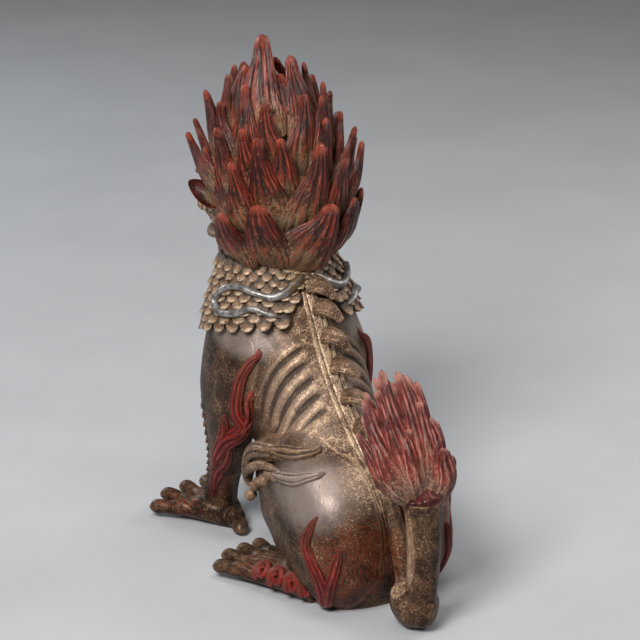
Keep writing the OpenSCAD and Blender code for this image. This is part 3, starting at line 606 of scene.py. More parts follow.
THIGH_FLAME = [
    (3.6, 3, 90, [[53, 81, 79, 2], [58, 77, 67, 7], [59, 74, 55, 9], [57, 79, 44, 10], [54, 84, 32, 11],
                  [50, 83, 18, 12], [47, 78, 4, 12]]),
    (3.6, 2, 64, [[44, 98, 58, 2], [46, 96, 49, 7], [48, 94, 37, 8], [48, 88, 23, 9], [45, 80, 5, 8]])]


def tongues(name, piece, rows):
    return [strip(name, on_skin(piece, keys), height, furrows, along) for height, furrows, along, keys in rows]


left_shoulder_flame = join("flame_left_shoulder", tongues("flame", left_foreleg, SHOULDER_FLAME))
left_thigh_flame = join("flame_left_thigh", tongues("flame", left_hind_leg, THIGH_FLAME))
tell(left_shoulder_flame, left_thigh_flame)

# %% Hooked leaf and beads on the knee
LEAF = [[35, 42, 111, 1.2], [41, 37, 109, 2.8], [45.5, 31, 106.5, 3.6], [49, 23, 104, 3.8], [52, 14, 100, 2.5]]
DOME = [[51, 34, 104, 2], [53, 25, 104, 5], [54.5, 13, 102.5, 7.2], [55, 2, 99.5, 8], [55, -8, 93.5, 7.8],
        [55, -15, 84, 6.6], [55.5, -18, 76, 5], [56, -17, 69, 3.4], [56, -14, 65, 1.5]]
CREST = [[56, 34, 95, 1], [59, 25, 95.5, 2.6], [61, 14, 94, 3.4], [61.5, 3, 89, 3.6], [60.5, -7, 82.5, 3.2],
         [59, -14, 76, 2.4], [58, -16, 70, 1.2]]
BEADS = [[58, 19, 88, 4.8], [58, 12, 81, 5], [57.5, 29, 90, 4.6], [56, 38, 92, 4.2], [57, -5, 69, 4.2],
         [56, -14, 58, 4.6], [58, 2, 75, 4]]
LEAF_TAILS = [
    (5.4, 2, 60, [[29, 44, 110, 1.5], [34, 46, 110, 6], [40, 44, 110, 9], [46, 38, 108, 10.5], [50, 29, 107, 10],
                  [51, 19, 104, 7]]),
    (4, 2, 60, [[38, 66, 103, 1], [43, 65, 101, 5], [49, 61, 100, 8], [54, 53, 96, 9.5], [57, 42, 94, 9],
                [58, 30, 92, 6]])]
LEAF_OUT = (1, 0, 0.4)
knee = [wrap("knee_leaf", 50, 40, combed(LEAF, 5, 0.2, LEAF_OUT)),
        wrap("knee_dome", 80, 64, combed(DOME, 8, 0.16, LEAF_OUT)),
        wrap("knee_crest", 60, 30, limb_skin(CREST, LEAF_OUT))]
for x, y, z, r in BEADS:
    rows = [[x - 2, y + 0.9 * r, z + 0.5 * r, 0.6 * r], [x, y, z, r], [x - 2, y - 0.9 * r, z - 0.5 * r, 0.6 * r]]
    knee.append(wrap("knee_bead", 20, 20, limb_skin(rows, (1, 0, 0))))
left_knee = join("knee_left_leaf", knee + tongues("knee_tail", left_hind_leg, LEAF_TAILS))
tell(left_knee)

# %% Hair and a curl on the tail
hair = []
for j in (-1, 0, 1):
    keys = [[9 + j, STEM_Y - 3 + 3 * j, 97, 1.5], [11, STEM_Y + 1 + 3.5 * j, 74, 3.6],
            [11, STEM_Y + 1 + 3.5 * j, 50, 3.8], [10, STEM_Y - 6 + 3 * j, 32, 3]]
    hair.append(strip("tail_hair", on_skin(tail_stem, keys), 2.2, 1, 60, 16, depth=0))
facing = unit(np.array([0.62, -0.4, 0.68]))
aside = unit(np.cross(facing, [0, 0, 1]))
turns = np.linspace(0, 600, 24)
ring = 8.4 * (1 - 0.8 * turns / 600)
curl = np.array([8, STEM_Y - 13, 28]) + np.outer(ring * np.cos(np.radians(turns)), aside) \
    + np.outer(ring * np.sin(np.radians(turns)), np.cross(facing, aside))
keys = np.column_stack((curl, np.full(len(turns), 3.2)))
hair.append(strip("tail_curl", on_skin(tail_stem, keys), 1.8, 1, 120, 16, depth=0))
tail_stem = join("bronze_tail", [tail_stem] + hair)
tell(tail_stem)

# %% Curls on the heel
curls = []
for u0, t0 in ((0.56, 26), (0.4, 16), (0.24, 13), (0.08, 14)):
    turns = np.linspace(-70, 480, 20)
    radius = 6.4 * (1 - 0.84 * np.maximum(turns, 0) / 480)
    keys = np.column_stack((u0 + radius * np.cos(np.radians(turns)) / HIND_LENGTH,
                            t0 + 4.6 * radius * np.sin(np.radians(turns)), np.linspace(5.8, 4.0, len(turns))))
    curls.append(strip("curl", on_form(hind_sole, keys), 3.4, 1, 130, 20, depth=0))
left_curls = join("curls_left_heel", curls)
tell(left_curls)

# %% [markdown]
# ## The scaled collar
# A sleeve of overlapping scales sits round the neck. Each scale is a small tongue with a lifted lip, a few dozen
# faces in all. One function shapes it, and two loops lay it row by row from the rim down to the hem, each row
# shifted by half a scale so that it covers the joints of the row below.


# %% Scales on the neck
def flare(u):
    """How far the sleeve stands off the neck, in mm."""
    return 2.0 + 4.5 * ease(0.06, 0.235, u)


def collar_at(u, t):
    return trunk_at(u, t, flare(u) + 0.5)


def hem(t):
    """Where the collar ends: low on the flanks and high over the spine."""
    side = np.minimum(np.abs(t) % 360, 360 - np.abs(t) % 360)
    return 0.25 - 0.12 * (1 - ease(3, 28, side))


def sleeve_skin(u, v):
    run = 0.012 + (hem(360 * v) - 0.022) * np.where(u < 0.6, u / 0.6, (1 - u) / 0.4)
    # The sleeve's low mark makes the finish paint it dark, as painted shade between the scales.
    return trunk_at(run, 360 * v, np.where(u < 0.6, flare(run), -1.5)), {"ridge": 0.1, "tip": u}


# %% Scales in rows
ROWS, SCALES = 9, 26


def scale_skin(u0, t0, tall):
    """One scale from its root at u0, t0. Tall says how far its end lifts."""
    def place(u, v):
        turn, s_end = 2 * math.pi * v, np.sin(u * math.pi / 2)
        across, rise = np.cos(turn), np.sin(turn)
        round_end = np.sqrt(np.clip(1 - np.clip((s_end - 0.35) / 0.65, 0, 1) ** 2, 0, 1))
        half = 360 / SCALES * 0.54 * np.maximum(round_end, 0.02)
        lip = 1 + 0.9 * np.maximum(np.abs(across) ** 4, ease(0.6, 0.95, s_end))
        lift = np.where(rise > 0, (0.2 + 1.3 * s_end * tall) * lip, -1.2) * np.minimum(1, np.abs(rise) * 1.6)
        run = u0 - 0.018 + 0.052 * s_end
        # The mark is low at the root, nothing on the underside and highest at the lip, so the finish paints shade
        # under the scales and a highlight on their lips.
        lit_lip_shaded_root = 0.28 + 0.16 * ease(0.45, 0.8, s_end) + 0.22 * ease(0.5, 1, s_end) * lip
        ridge = np.where(rise > 0, np.minimum(1, 4 * rise) * lit_lip_shaded_root, 0)
        return trunk_at(run, t0 + half * across, flare(run) + lift), {"ridge": ridge, "tip": u}
    return place


plates = [wrap("collar_sleeve", 30, 96, sleeve_skin)]
for r in range(ROWS):
    for s in range(SCALES):
        t0 = 360 * (s + 0.5 * (r % 2)) / SCALES
        u0 = 0.022 + (hem(t0) - 0.06) * r / (ROWS - 1)
        plates.append(wrap("scale", 5, 9, scale_skin(u0, t0, 1 + 0.45 * math.sin(5 * s + 3 * r))))
collar = join("collar_scales", plates)
print("scales:", ROWS * SCALES, "faces:", len(collar.data.polygons))

# %% Ribbon and spine band
RIBBON = [[0.07, 2, 3], [0.093, 8, 7], [0.133, 19.5, 7.4], [0.145, 31, 6.2], [0.123, 45, 5.6], [0.098, 60, 5.2],
          [0.105, 76, 5.2], [0.145, 87, 5.4], [0.182, 80, 5.4], [0.19, 64, 5.6], [0.178, 48, 5.2], [0.2, 37, 4.2],
          [0.215, 27, 1.6]]
BAND = [[0.1, 0, 10], [0.2, 0, 14], [0.4, 0, 16], [0.6, 0, 15], [0.8, 0, 12]]
left_ribbon = strip("ribbon_left", on_form(collar_at, RIBBON), 5.4, 1, 200, 24, depth=0)
spine_band = strip("band_spine", on_form(trunk_at, BAND), 2.6, 2, 200, 60, depth=0.55)
tell(left_ribbon, spine_band)

# %% [markdown]
# ## Locks of the mane
# The mane is a sheaf of flame-shaped locks, each combed with a wire tool while the wax was soft. A lock is one
# wrapped grid along a bent path. Its section is a flattened ring whose radius rises and falls, which gives the
# combed ridges, and the height of each ridge is kept as a mark, so that the finish can paint the ridges bright,
# partly as wear and partly as painted highlight, and the furrows dark.


# %% One lock
FLAME = [1.35, 1.55, 1.62, 1.45, 1.13, 0.78, 0.5, 0.4, 0.38]
STRAND = [0.9, 1, 1, 0.95, 0.85, 0.68, 0.5, 0.42, 0.4]


def lock_skin(path, out, width, flat, ridges, flick=0.0, depth=0.2, blunt=0.0, sway=0.0, taper=STRAND):
    """A lock along a path of three points, with its flat side facing out. Flick and sway bend it, in mm."""
    path, out = np.asarray(path, float), unit(np.asarray(out, float))
    across = unit(np.cross(out, path[2] - path[0]))

    def spine(u):
        s = u[:, None]
        line = path[0] * (1 - s) ** 2 + path[1] * 2 * s * (1 - s) + path[2] * s**2
        return line + out * flick * s**4 + across * sway * np.sin(2 * math.pi * s) * s

    def place(u, v):
        tangent = unit(spine(u + 0.01) - spine(u - 0.01))
        side = unit(np.cross(out, tangent))
        up = np.cross(tangent, side)
        turn = 2 * math.pi * v
        slim = np.interp(u, [0, 0.15, 0.3, 0.45, 0.6, 0.75, 0.88, 0.95, 1], taper)
        wide = slim + blunt * np.interp(u, [0, 0.5, 0.75, 0.92, 1], [0, 0.1, 0.24, 0.3, 0.3])
        thick = np.interp(u, [0, 0.3, 0.6, 0.85, 0.93, 1], [0.9, 1, 0.85, 0.58, 0.5, 0.46])
        end = np.sqrt(np.clip(1 - np.clip((u - 0.95 + 0.1 * blunt) / (0.05 + 0.1 * blunt), 0, 1) ** 2, 0, 1))
        comb = np.abs(np.sin(ridges / 2 * (turn + 0.25 * np.sin(2 * turn) + 0.5 * u))) ** 0.5
        cut = end * (1 - depth * (1 - comb) * ease(0, 0.08, u) * (1 - ease(0.86, 0.96, u)))
        points = spine(u) + side * (np.cos(turn) * width / 2 * wide * cut)[:, None]
        points = points + up * (np.sin(turn) * width / 2 * flat * thick * cut)[:, None]
        return points, {"ridge": comb, "tip": u}
    return place


# %% The mane's core and tiers
MANE_R, MANE_H = 58, 154
CORE = np.array([[0.88, -0.26, 0.06, 0.06], [0.76, -0.24, 0.29, 0.27], [0.61, -0.17, 0.5, 0.46],
                 [0.47, -0.09, 0.66, 0.6], [0.32, 0.02, 0.76, 0.68], [0.16, 0.07, 0.76, 0.64],
                 [0.03, 0.1, 0.62, 0.52]])


def core_skin(u, v):
    r, turn = read_rows(CORE, u), 2 * math.pi * v
    comb = np.abs(np.sin(15 * turn + 3 * u)) ** 0.6
    wide, deep = (MANE_R * r[:, k] * (0.96 + 0.06 * comb) for k in (2, 3))
    points = np.column_stack((wide * np.sin(turn), NECK_Y + MANE_R * r[:, 1] + deep * np.cos(turn),
                              BODY_H + MANE_H * r[:, 0]))
    return points, {"ridge": 0.9 * comb, "tip": 0.1 + 0.5 * np.clip(-1.5 * np.cos(turn), 0, 1)}


def core_mid(h):
    """The core's middle at a share of the mane's height."""
    return np.array([0, NECK_Y + MANE_R * np.interp(h, CORE[::-1, 0], CORE[::-1, 1]), BODY_H + MANE_H * h])


def core_edge(h, deg):
    wide, deep = (np.interp(h, CORE[::-1, 0], CORE[::-1, k]) for k in (2, 3))
    turn = math.radians(deg)
    return core_mid(h) + MANE_R * np.array([wide * math.sin(turn), deep * math.cos(turn), 0])


FLICKS, SWAYS = (6, 9, 4, 8), (2.4, -1.8, 1.2, -2.6, 1.9)


def tier(name, locks, ridges, blunt=(0, 0)):
    """Locks from rows [root's turn, root's height, tip's turn, tip's height, tip's reach, width]."""
    made = []
    for k, (deg0, h0, deg1, h1, reach, width) in enumerate(locks):
        root = core_edge(h0, deg0)
        tip = core_mid(h1) + (MANE_R * reach + 3 * min(1, reach)) * compass(deg1)
        lean = (deg0 + deg1) / 2
        spread = max(MANE_R * reach * 1.08, np.linalg.norm(root - core_mid(h0)) + 7)
        belly = core_mid(h0 + 0.3 * (h1 - h0)) + spread * compass(lean)
        made.append(wrap("lock", 48, 96, lock_skin(
            [root - 4 * compass(deg0), belly, tip], compass(lean, 0.15), width, 0.54, ridges + 2 * (k % 3 - 1),
            FLICKS[k % 4], 0.26, blunt[k > 0], SWAYS[k % 5], FLAME)))
    return join(name, made)


def both(deg0, h0, deg1, *rest):
    """A lock on the left and its twin on the right."""
    return [deg0, h0, deg1, *rest], [-deg0, h0, -deg1, *rest]


# %% Five tiers of locks
NAPE = [[20, -0.01, -12, 0.31, 0.92, 28], [38, -0.01, 42, 0.33, 0.88, 23], [-34, 0, -35, 0.3, 0.95, 21],
        [76, -0.01, 70, 0.26, 0.88, 22], [-60, 0, -60, 0.29, 0.92, 21], [-84, 0, -86, 0.26, 0.88, 20],
        [102, 0.04, 102, 0.28, 0.7, 16], [-104, 0.04, -104, 0.28, 0.7, 16]]
SECOND = [[9, 0.15, -8, 0.59, 0.9, 23], [34, 0.16, 38, 0.63, 0.8, 21], [56, 0.15, 60, 0.51, 0.9, 19],
          [-22, 0.16, -28, 0.5, 0.94, 19], [-47, 0.17, -51, 0.53, 1, 18], [-73, 0.16, -77, 0.5, 0.9, 19],
          [80, 0.16, 84, 0.47, 0.76, 16], [104, 0.18, 110, 0.5, 0.7, 15], [-100, 0.18, -108, 0.5, 0.7, 15]]
THIRD = [[22, 0.29, 22, 0.62, 0.78, 19], [47, 0.29, 50, 0.66, 0.74, 18], [73, 0.28, 78, 0.64, 0.78, 18],
         [98, 0.28, 106, 0.58, 0.9, 18], [-14, 0.29, -22, 0.68, 0.78, 18], [-39, 0.28, -49, 0.6, 0.9, 17],
         [-64, 0.29, -68, 0.64, 0.8, 17], [-90, 0.28, -98, 0.58, 0.9, 18],
         *both(122, 0.34, 130, 0.6, 0.84, 16), *both(148, 0.37, 150, 0.6, 0.74, 15)]
FOURTH = [[2, 0.41, -12, 0.79, 0.58, 19], [30, 0.41, 30, 0.76, 0.54, 18], [56, 0.42, 60, 0.83, 0.44, 18],
          [80, 0.42, 84, 0.74, 0.56, 17], [102, 0.42, 108, 0.77, 0.66, 17], [-26, 0.41, -32, 0.76, 0.6, 17],
          [-50, 0.42, -48, 0.81, 0.62, 16], [-75, 0.41, -78, 0.72, 0.66, 17], [-100, 0.42, -106, 0.77, 0.66, 17],
          *both(128, 0.46, 134, 0.72, 0.62, 16), *both(160, 0.5, 162, 0.76, 0.5, 15)]
CROWN = [[32, 0.56, 60, 1.035, 0.04, 24], [-24, 0.55, -28, 0.935, 0.2, 25], [4, 0.57, 0, 0.86, 0.24, 18],
         [66, 0.56, 74, 0.9, 0.2, 16], [100, 0.55, 106, 0.84, 0.38, 15], [-58, 0.56, -66, 0.88, 0.3, 16],
         [-98, 0.55, -106, 0.84, 0.38, 15], *both(148, 0.56, 158, 0.84, 0.36, 15),
         *both(158, 0.66, 145, 0.87, 0.16, 16), [120, 0.66, 122, 0.87, 0.12, 17], [-120, 0.66, -122, 0.89, 0.1, 18]]
mane_core = wrap("mane_core_skin", 40, 150, core_skin)
nape, second = tier("mane_nape", NAPE, 20, (0.35, 1)), tier("mane_second", SECOND, 20)
third, fourth = tier("mane_third", THIRD, 18), tier("mane_fourth", FOURTH, 18)
crown = tier("mane_crown", CROWN, 18, (0.3, 0.2))
print("locks:", sum(map(len, (NAPE, SECOND, THIRD, FOURTH, CROWN))))

# %% Plume of the tail
PLUME_H, STEM_H = 88, 102
FINGERS = [[33, 24, 0.62, 13], [28, 31, 0.8, 13], [22, 33, 0.88, 13], [14, 34, 1, 13], [4, 33, 0.98, 13],
           [-3, 31, 0.92, 13], [-7, 24, 0.75, 13], [-11, 15, 0.62, 14], [-17, 1, 0.4, 15], [12, 13, 0.66, 14]]
CUP = [[0, STEM_Y, STEM_H - 3, 10], [0, STEM_Y, STEM_H - 1, 13.8], [0, STEM_Y - 1, STEM_H + 3, 12.6],
       [0, STEM_Y - 2, STEM_H + 9, 6]]
cup = wrap("plume_cup", 30, 72, combed(CUP, 11, 0.14, (1, 0, 0)))
mark(cup, "ridge", 0.34)
mark(cup, "tip", 0.6)


def strand(k, n, x, forward, share, width):
    """One of the three strands of a finger: the first is the longest, the others lie behind it to each side."""
    turned = (-1) ** k
    shift, short, wide = ((0, 1, 1.35), (4 * turned, 0.9 + 0.03 * (k % 3), 0.95),
                          (-3 * turned, 0.78 + 0.05 * (k % 4), 0.9))[n]
    path = [[x * 0.36 + shift * 0.4, STEM_Y - 2 - n, STEM_H - 2 + 6 * np.clip(x / 20, -1, 1) - n],
            [x * 1.15 + shift, STEM_Y + 6 - 2.5 * n, STEM_H + PLUME_H * (0.12 + 0.28 * share * short)],
            [x + shift * 1.4, STEM_Y - forward * short - 2 * n, STEM_H + PLUME_H * share * short]]
    flick, sway = (2, -3, 5, -1)[(k + n) % 4], (3.5, -2.4, 2.2, -3.6, 1)[(k + 2 * n) % 5]
    return wrap("finger", 56, 44, lock_skin(path, (0, 1, 0), width * wide, 0.62, 16, flick, 0.3, sway=sway))


plume = join("plume_tail", [cup] + [strand(k, n, *row) for k, row in enumerate(FINGERS) for n in range(3)])
tell(plume)

# %% Fins along the spine
fins = []
RIGHT = np.array([-1.0, 0, 0])
for k in range(8):
    u = 0.15 + 0.075 * k
    foot, out = trunk_at(u, 0)[0], normal_at(trunk_at, np.array([u]), np.array([0.0]))[0]
    down = unit(trunk_at(u + 0.03, 0)[0] - trunk_at(u - 0.03, 0)[0])
    path = [foot - out * 1 + RIGHT - down * 6, foot + out * 15 + RIGHT * 5 - down * 4,
            foot + out * 13 + RIGHT * 13 + down * 11]
    fins.append(wrap("fin", 36, 48, lock_skin(path, out, 15, 0.42, 10)))
dorsal_fins = join("fins_spine", fins)
print("fins:", len(fins))

# %% [markdown]
# ## The head
# The face looks away from the camera, but it is modelled as the rest is: a skull with a broad nose, an open mouth
# with a tongue and fangs, round eyes under flared brows, ears, cheek curls and a beard.

# %% Skull and jaw
HEAD_L, HEAD_W, HEAD_H = 112, 80, 74
SKULL = [[-0.3, 0.57, 0.14, 0.22], [-0.19, 0.84, 0.05, 0.4], [0, 1, 0, 0.475], [0.23, 0.95, 0.03, 0.5],
         [0.41, 0.74, 0.16, 0.485], [0.53, 0.6, 0.24, 0.42], [0.64, 0.56, 0.25, 0.35], [0.7, 0.47, 0.28, 0.23]]
JAW = [[0.14, 0.16, 0, 0.43], [0.3, 0.14, -0.03, 0.44], [0.45, 0.1, -0.1, 0.4], [0.57, 0.09, -0.12, 0.31],
       [0.64, 0.05, -0.08, 0.18]]


def head_at(rows, u, t):
    """Points on the skull or the jaw, from rows [ahead, top, underside, half width] in shares of the head."""
    r, turn = read_rows(rows, u), np.radians(np.atleast_1d(t))
    top, low = r[:, 1] * HEAD_H, r[:, 2] * HEAD_H
    rise = (top + low) / 2 + (top - low) / 2 * bow(np.sin(turn))
    return np.column_stack((r[:, 3] * HEAD_W * bow(np.cos(turn)), NECK_Y - r[:, 0] * HEAD_L, BODY_H + rise))


def on_head(x, ahead, up):
    return np.array([x, NECK_Y - HEAD_L * ahead, BODY_H + HEAD_H * up])


EYE = on_head(HEAD_W * 0.3, 0.475, 0.56)
parts = [clay("skull", lambda u, t: head_at(SKULL, u, t), 60, 60)]
for k in (-1, 1):
    rows = [[*on_head(9 * k, 0.6, 0.44), 7], [*on_head(10 * k, 0.66, 0.42), 8], [*on_head(9 * k, 0.71, 0.4), 4]]
    parts.append(wrap("nostril", 16, 20, limb_skin(rows)))
skull = fuse("bronze_skull", parts, 1.0, 4)
jaw = clay("bronze_jaw", lambda u, t: head_at(JAW, u, t), 40, 48)
tell(skull, jaw)


# %% Ear
def ear_skin(u, v):
    """A pointed cup: up its round back, over the rim and down into the hollow."""
    facing, tall = unit(np.array([0.7, 0.1, 0.5])), unit(np.array([0.3, -0.75, 0.3]))
    wide = np.cross(facing, tall)
    turn, ring = 2 * math.pi * v, np.sin(math.pi * u) ** 0.8
    deep = np.where(u < 0.5, -11, -7.5) * np.abs(np.cos(math.pi * u))
    point = 1 + 0.3 * np.maximum(np.cos(turn), 0) ** 3
    points = np.array([46, -88, 267]) + np.outer(15 * ring * point * np.cos(turn), tall)
    points = points + np.outer(9 * ring * np.sin(turn), wide) + np.outer(deep + 4, facing)
    # The mark drops inside the hollow, so the finish paints the hollow darker, as painted shade.
    return points, {"ridge": np.clip(ring * 1.2 - 0.35 * (u > 0.5), 0, 1), "tip": 0.3 + 0.5 * ring}


# %% Tongue, fangs, ears, brows, beard and horn
path = [on_head(0, 0.28, 0.2), on_head(0, 0.5, 0.1), on_head(0, 0.66, 0.22)]
tongue = wrap("tongue_red", 30, 36, lock_skin(path, (0, 0, 1), 26, 0.36, 4))
teeth = []
for k in (-1, 1):
    for x, ahead, up, tall in ((0.25, 0.6, 0.3, -14), (0.2, 0.55, 0.04, 14)):
        foot = on_head(HEAD_W * x * k, ahead, up)
        rows = [[*foot, 2.6], [*(foot + [0, -0.5, tall * 0.5]), 2.2], [*(foot + [0, 0.5, tall]), 0.5]]
        teeth.append(wrap("fang", 14, 16, limb_skin(rows, (0, 1, 0))))
fangs = join("fangs_ivory", teeth)
left_ear = wrap("ear_left", 40, 48, ear_skin)
brows = []
for k in (0, 1):
    path = [EYE + [-10, -4, 9], EYE + [2 + 6 * k, -6, 16 + 6 * k], EYE + [17 + 2 * k, 4 + 6 * k, 9 + 12 * k]]
    brows.append(wrap("brow", 36, 40, lock_skin(path, (0, -1, 0.5), 13 - 2 * k, 0.6, 8)))
left_brow = join("brow_left", brows)
chin, tufts = on_head(0, 0.52, -0.06), []
for k in range(-2, 3):
    path = [chin + [k * 9, abs(k) * 5, 0], chin + [k * 11, 2 + abs(k) * 6, -14],
            chin + [k * 12, 10 + abs(k) * 7, -24 + abs(k) * 3]]
    tufts.append(wrap("beard_lock", 36, 40, lock_skin(path, (0, -1, 0), 12, 0.6, 8)))
beard = join("beard_locks", tufts)
root = on_head(0, 0.33, 0.84)
rows = [[*root, 7], [*(root + [0, -3, 19.6]), 6], [*(root + [0, -2, 39.2]), 4.2], [*(root + [0, 4, 52.6]), 2.6],
        [*(root + [0, 10, 56]), 1.2]]
horn = wrap("horn_gilt", 70, 30, combed(rows, 5, 0.12, (1, 0, 0)))
print("fangs:", len(teeth), "beard locks:", len(tufts))

# %% Eyes and cheek curls
EYE_R, LOOK = 8.5, unit(np.array([0.5, -1.0, 0.05]))
pick()
bpy.ops.mesh.primitive_uv_sphere_add(segments=24, ring_count=14, radius=EYE_R * MM)
left_eye = bpy.context.object
left_eye.name = "eye_left"
write_points(left_eye, read_points(left_eye) + EYE * MM)
bpy.ops.object.shade_smooth()
mark(left_eye, "gaze", unit(read_points(left_eye) * PER_METRE - EYE) @ LOOK)


def snail_skin(at, radius, facing):
    """A round curl with one groove that winds from its front to its back."""
    facing = unit(np.asarray(facing, float))
    aside = unit(np.cross(facing, [0, 0, 1]))
    above = np.cross(aside, facing)

    def place(u, v):
        tilt, turn = math.pi * (0.04 + 0.92 * u), 2 * math.pi * v
        comb = np.abs(np.sin((turn - 7 * tilt) / 2)) ** 0.5
        reach = radius * (0.8 + 0.2 * comb)
        ring = np.outer(np.cos(turn), aside) + np.outer(np.sin(turn), above)
        points = at + facing * (reach * np.cos(tilt))[:, None] + ring * (reach * np.sin(tilt))[:, None]
        return points, {"ridge": 0.25 + 0.5 * comb, "tip": 0.5}
    return place


cheeks = []
for side in (-1, 1):
    for k in range(12):
        at = head_at(SKULL, 0.36 + 0.07 * (k // 2), -6 - 20 * (k % 2) - 2 * k)[0] * [side, 1, 1]
        cheeks.append(wrap("cheek_curl", 24, 28, snail_skin(at, 5.4 - 0.5 * (k % 3), (side, -0.35, 0.1))))
cheek_curls = join("curls_cheek", cheeks)
print("cheek curls:", len(cheeks))

# %% [markdown]
# ## Marks for the finish
# Colour follows form: high places are painted lighter, partly as worn bronze and partly as painted highlight, and
# low places are painted darker. How far a point stands above its surroundings is found by comparing it with the
# average of its neighbours, and is kept as a mark on the mesh that the materials read.


# %% Measure the relief
RELIEF_ROUNDS, RELIEF_HEIGHT = 14, 1.6


def mark_relief(piece):
    """The mark is 0.5 on a plain skin, and reaches 1 or 0 half a relief's height above or below it."""
    edges = np.empty(len(piece.data.edges) * 2, np.int64)
    piece.data.edges.foreach_get("vertices", edges)
    a, b = edges.reshape(-1, 2).T
    points, normals = read_points(piece), read_normals(piece)
    count = np.bincount(a, minlength=len(points)) + np.bincount(b, minlength=len(points))
    soft = points.copy()
    for _ in range(RELIEF_ROUNDS):
        total = np.column_stack([np.bincount(a, soft[b, k], len(points)) + np.bincount(b, soft[a, k], len(points))
                                 for k in range(3)])
        soft = (soft + total / np.maximum(count, 1)[:, None]) / 2
    height = np.einsum("ij,ij->i", points - soft, normals)
    mark(piece, "relief", np.clip(0.5 + height / (RELIEF_HEIGHT * MM), 0, 1))


# %% Places where gold leaf and red lacquer remain, and rubbed spots that carry a painted sheen
def mark_spots(piece, key, spots, shaded_right_share=1.0):
    """Soft spots [place, radii, amount] in mm, the same on both sides. The last argument is the share that the right
    side keeps; for the gilding it is painted shade on the right side.
    """
    points = read_points(piece) * PER_METRE
    total = np.zeros(len(points))
    for place, radius, amount in spots:
        gap = np.linalg.norm((np.abs(points) * [1, 0, 0] + points * [0, 1, 1] - place) / radius, axis=1)
        total = np.maximum(total, amount * (1 - ease(0.35, 1, gap)))
    mark(piece, key, total * np.where(points[:, 0] < -7, shaded_right_share, 1))


GOLD = [((0, 20, 145), (75, 130, 110), 1.0), ((14, 76, 92), (40, 40, 35), 1.0), ((60, -43, 120), (28, 32, 50), 0.25),
        ((48, 93, 50), (50, 45, 50), 0.2), ((0, 130, 60), (40, 50, 90), 0.12),
        ((15, 135, 56), (11, 14, 72), 0.85), ((11, 121, 27), (14, 16, 16), 1.1)]
RED = [((30, 98, 40), (65, 45, 60), 1.0), ((0, 130, 50), (40, 30, 70), 0.6), ((54, -75, 50), (30, 40, 65), 0.75),
       ((35, 0, 130), (40, 60, 60), 0.45), ((62, 25, 10), (40, 60, 24), 0.85), ((60, -115, 14), (40, 45, 22), 0.75),
       ((56, -50, 140), (30, 40, 50), 0.4), ((20, 60, 110), (50, 40, 40), 0.3), ((0, 142, 60), (16, 14, 50), 0.55)]
# Rubbed spots on the haunch top, the shoulder top and the back: the rubbing is real, and the finish also paints a
# pale sheen on them that stands in for a broad highlight.
RUBBED_AND_SHEEN = [((52, 65, 88), (50, 50, 32), 1.0), ((43, -42, 172), (36, 52, 18), 1.0), ((30, 20, 140), (30, 60, 40), 0.5)]
bronzes = [trunk, left_foreleg, left_hind_leg, right_foreleg, right_hind_leg, tail_stem, skull, jaw, spine_band,
           dorsal_fins, left_knee, horn]
for piece in bronzes:
    mark_relief(piece)
    # The right side keeps only 0.4 of the gilding: painted shade that darkens the side away from the light.
    mark_spots(piece, "gild", GOLD, 0.4)
    mark_spots(piece, "lacquer", RED)
    mark_spots(piece, "rubbed_and_sheen", RUBBED_AND_SHEEN)
for piece, amount in ((spine_band, 1.3), (dorsal_fins, 0.6), (left_knee, 0.6)):
    mark(piece, "gild", amount)
print("marked bronze pieces:", len(bronzes))

# %% [markdown]
# ## Finishes
# The surface has a history: bronze that browned, gold leaf that flaked, lacquer that dulled, dust that stayed in
# the furrows and at the roots of the locks. Light and shade are painted in as well: a sheen on rubbed spots,
# highlights on raised places, ridges and tips, and shade under the collar's scales, in the ear's hollow and on the
# right side. Each step of it is a mask, and a colour is painted over the one below through that mask. Masks that
# several finishes need are node groups. A group only hands out numbers, and the shader stays in each material.


# %% Sums that become nodes
class Value:
    """What a node gives, a number or a colour. A sum that is written with it becomes a math node."""

    def __init__(self, socket):
        self.socket, self.tree = socket, socket.id_data

    def math(self, operation, a, b):
        return Value(add(self.tree, "Math", {0: a, 1: b}, operation=operation)[0])

    def __add__(self, other):
        return self.math("ADD", self, other)

    def __mul__(self, other):
        return self.math("MULTIPLY", self, other)

    def __sub__(self, other):
        return self.math("SUBTRACT", self, other)

    def __rsub__(self, other):
        return self.math("SUBTRACT", other, self)


def wire(socket, value):
    """Link a socket to what another node gives, or simply set it."""
    if isinstance(value, Value):
        value.tree.links.new(value.socket, socket)
    else:
        socket.default_value = value


def add(tree, kind, values, **settings):
    """A new node with its settings made and its inputs wired. The answer is the node's outputs."""
    node = tree.nodes.new("ShaderNode" + kind)
    for key, value in settings.items():
        setattr(node, key, value)
    for key, value in values.items():
        wire(node.inputs[key], value)
    return node.outputs


# %% Node helpers
def step(value, low, high):
    """A soft step from 0 at low to 1 at high, or down again where low is the larger."""
    limits = {"Value": value, "From Min": low, "From Max": high}
    return Value(add(value.tree, "MapRange", limits, interpolation_type="SMOOTHSTEP")["Result"])


def noise(tree, scale, detail, place="Object", stretch=(1, 1, 1)):
    spot = Value(add(tree, "TexCoord", {})[place])
    spot = Value(add(tree, "Mapping", {"Vector": spot, "Scale": stretch})[0])
    grain = {"Vector": spot, "Scale": scale, "Detail": detail, "Roughness": 0.62}
    return Value(add(tree, "TexNoise", grain)["Fac"])


def paint(mask, under, over):
    """One colour over another where the mask is 1."""
    under, over = ((*c, 1) if isinstance(c, tuple) else c for c in (under, over))
    return Value(add(mask.tree, "Mix", {0: mask, 6: under, 7: over}, data_type="RGBA")[2])


def dim(colour, share):
    return tuple(c * share for c in colour)


def stored(tree, key):
    return Value(add(tree, "Attribute", {}, attribute_name=key)["Fac"])


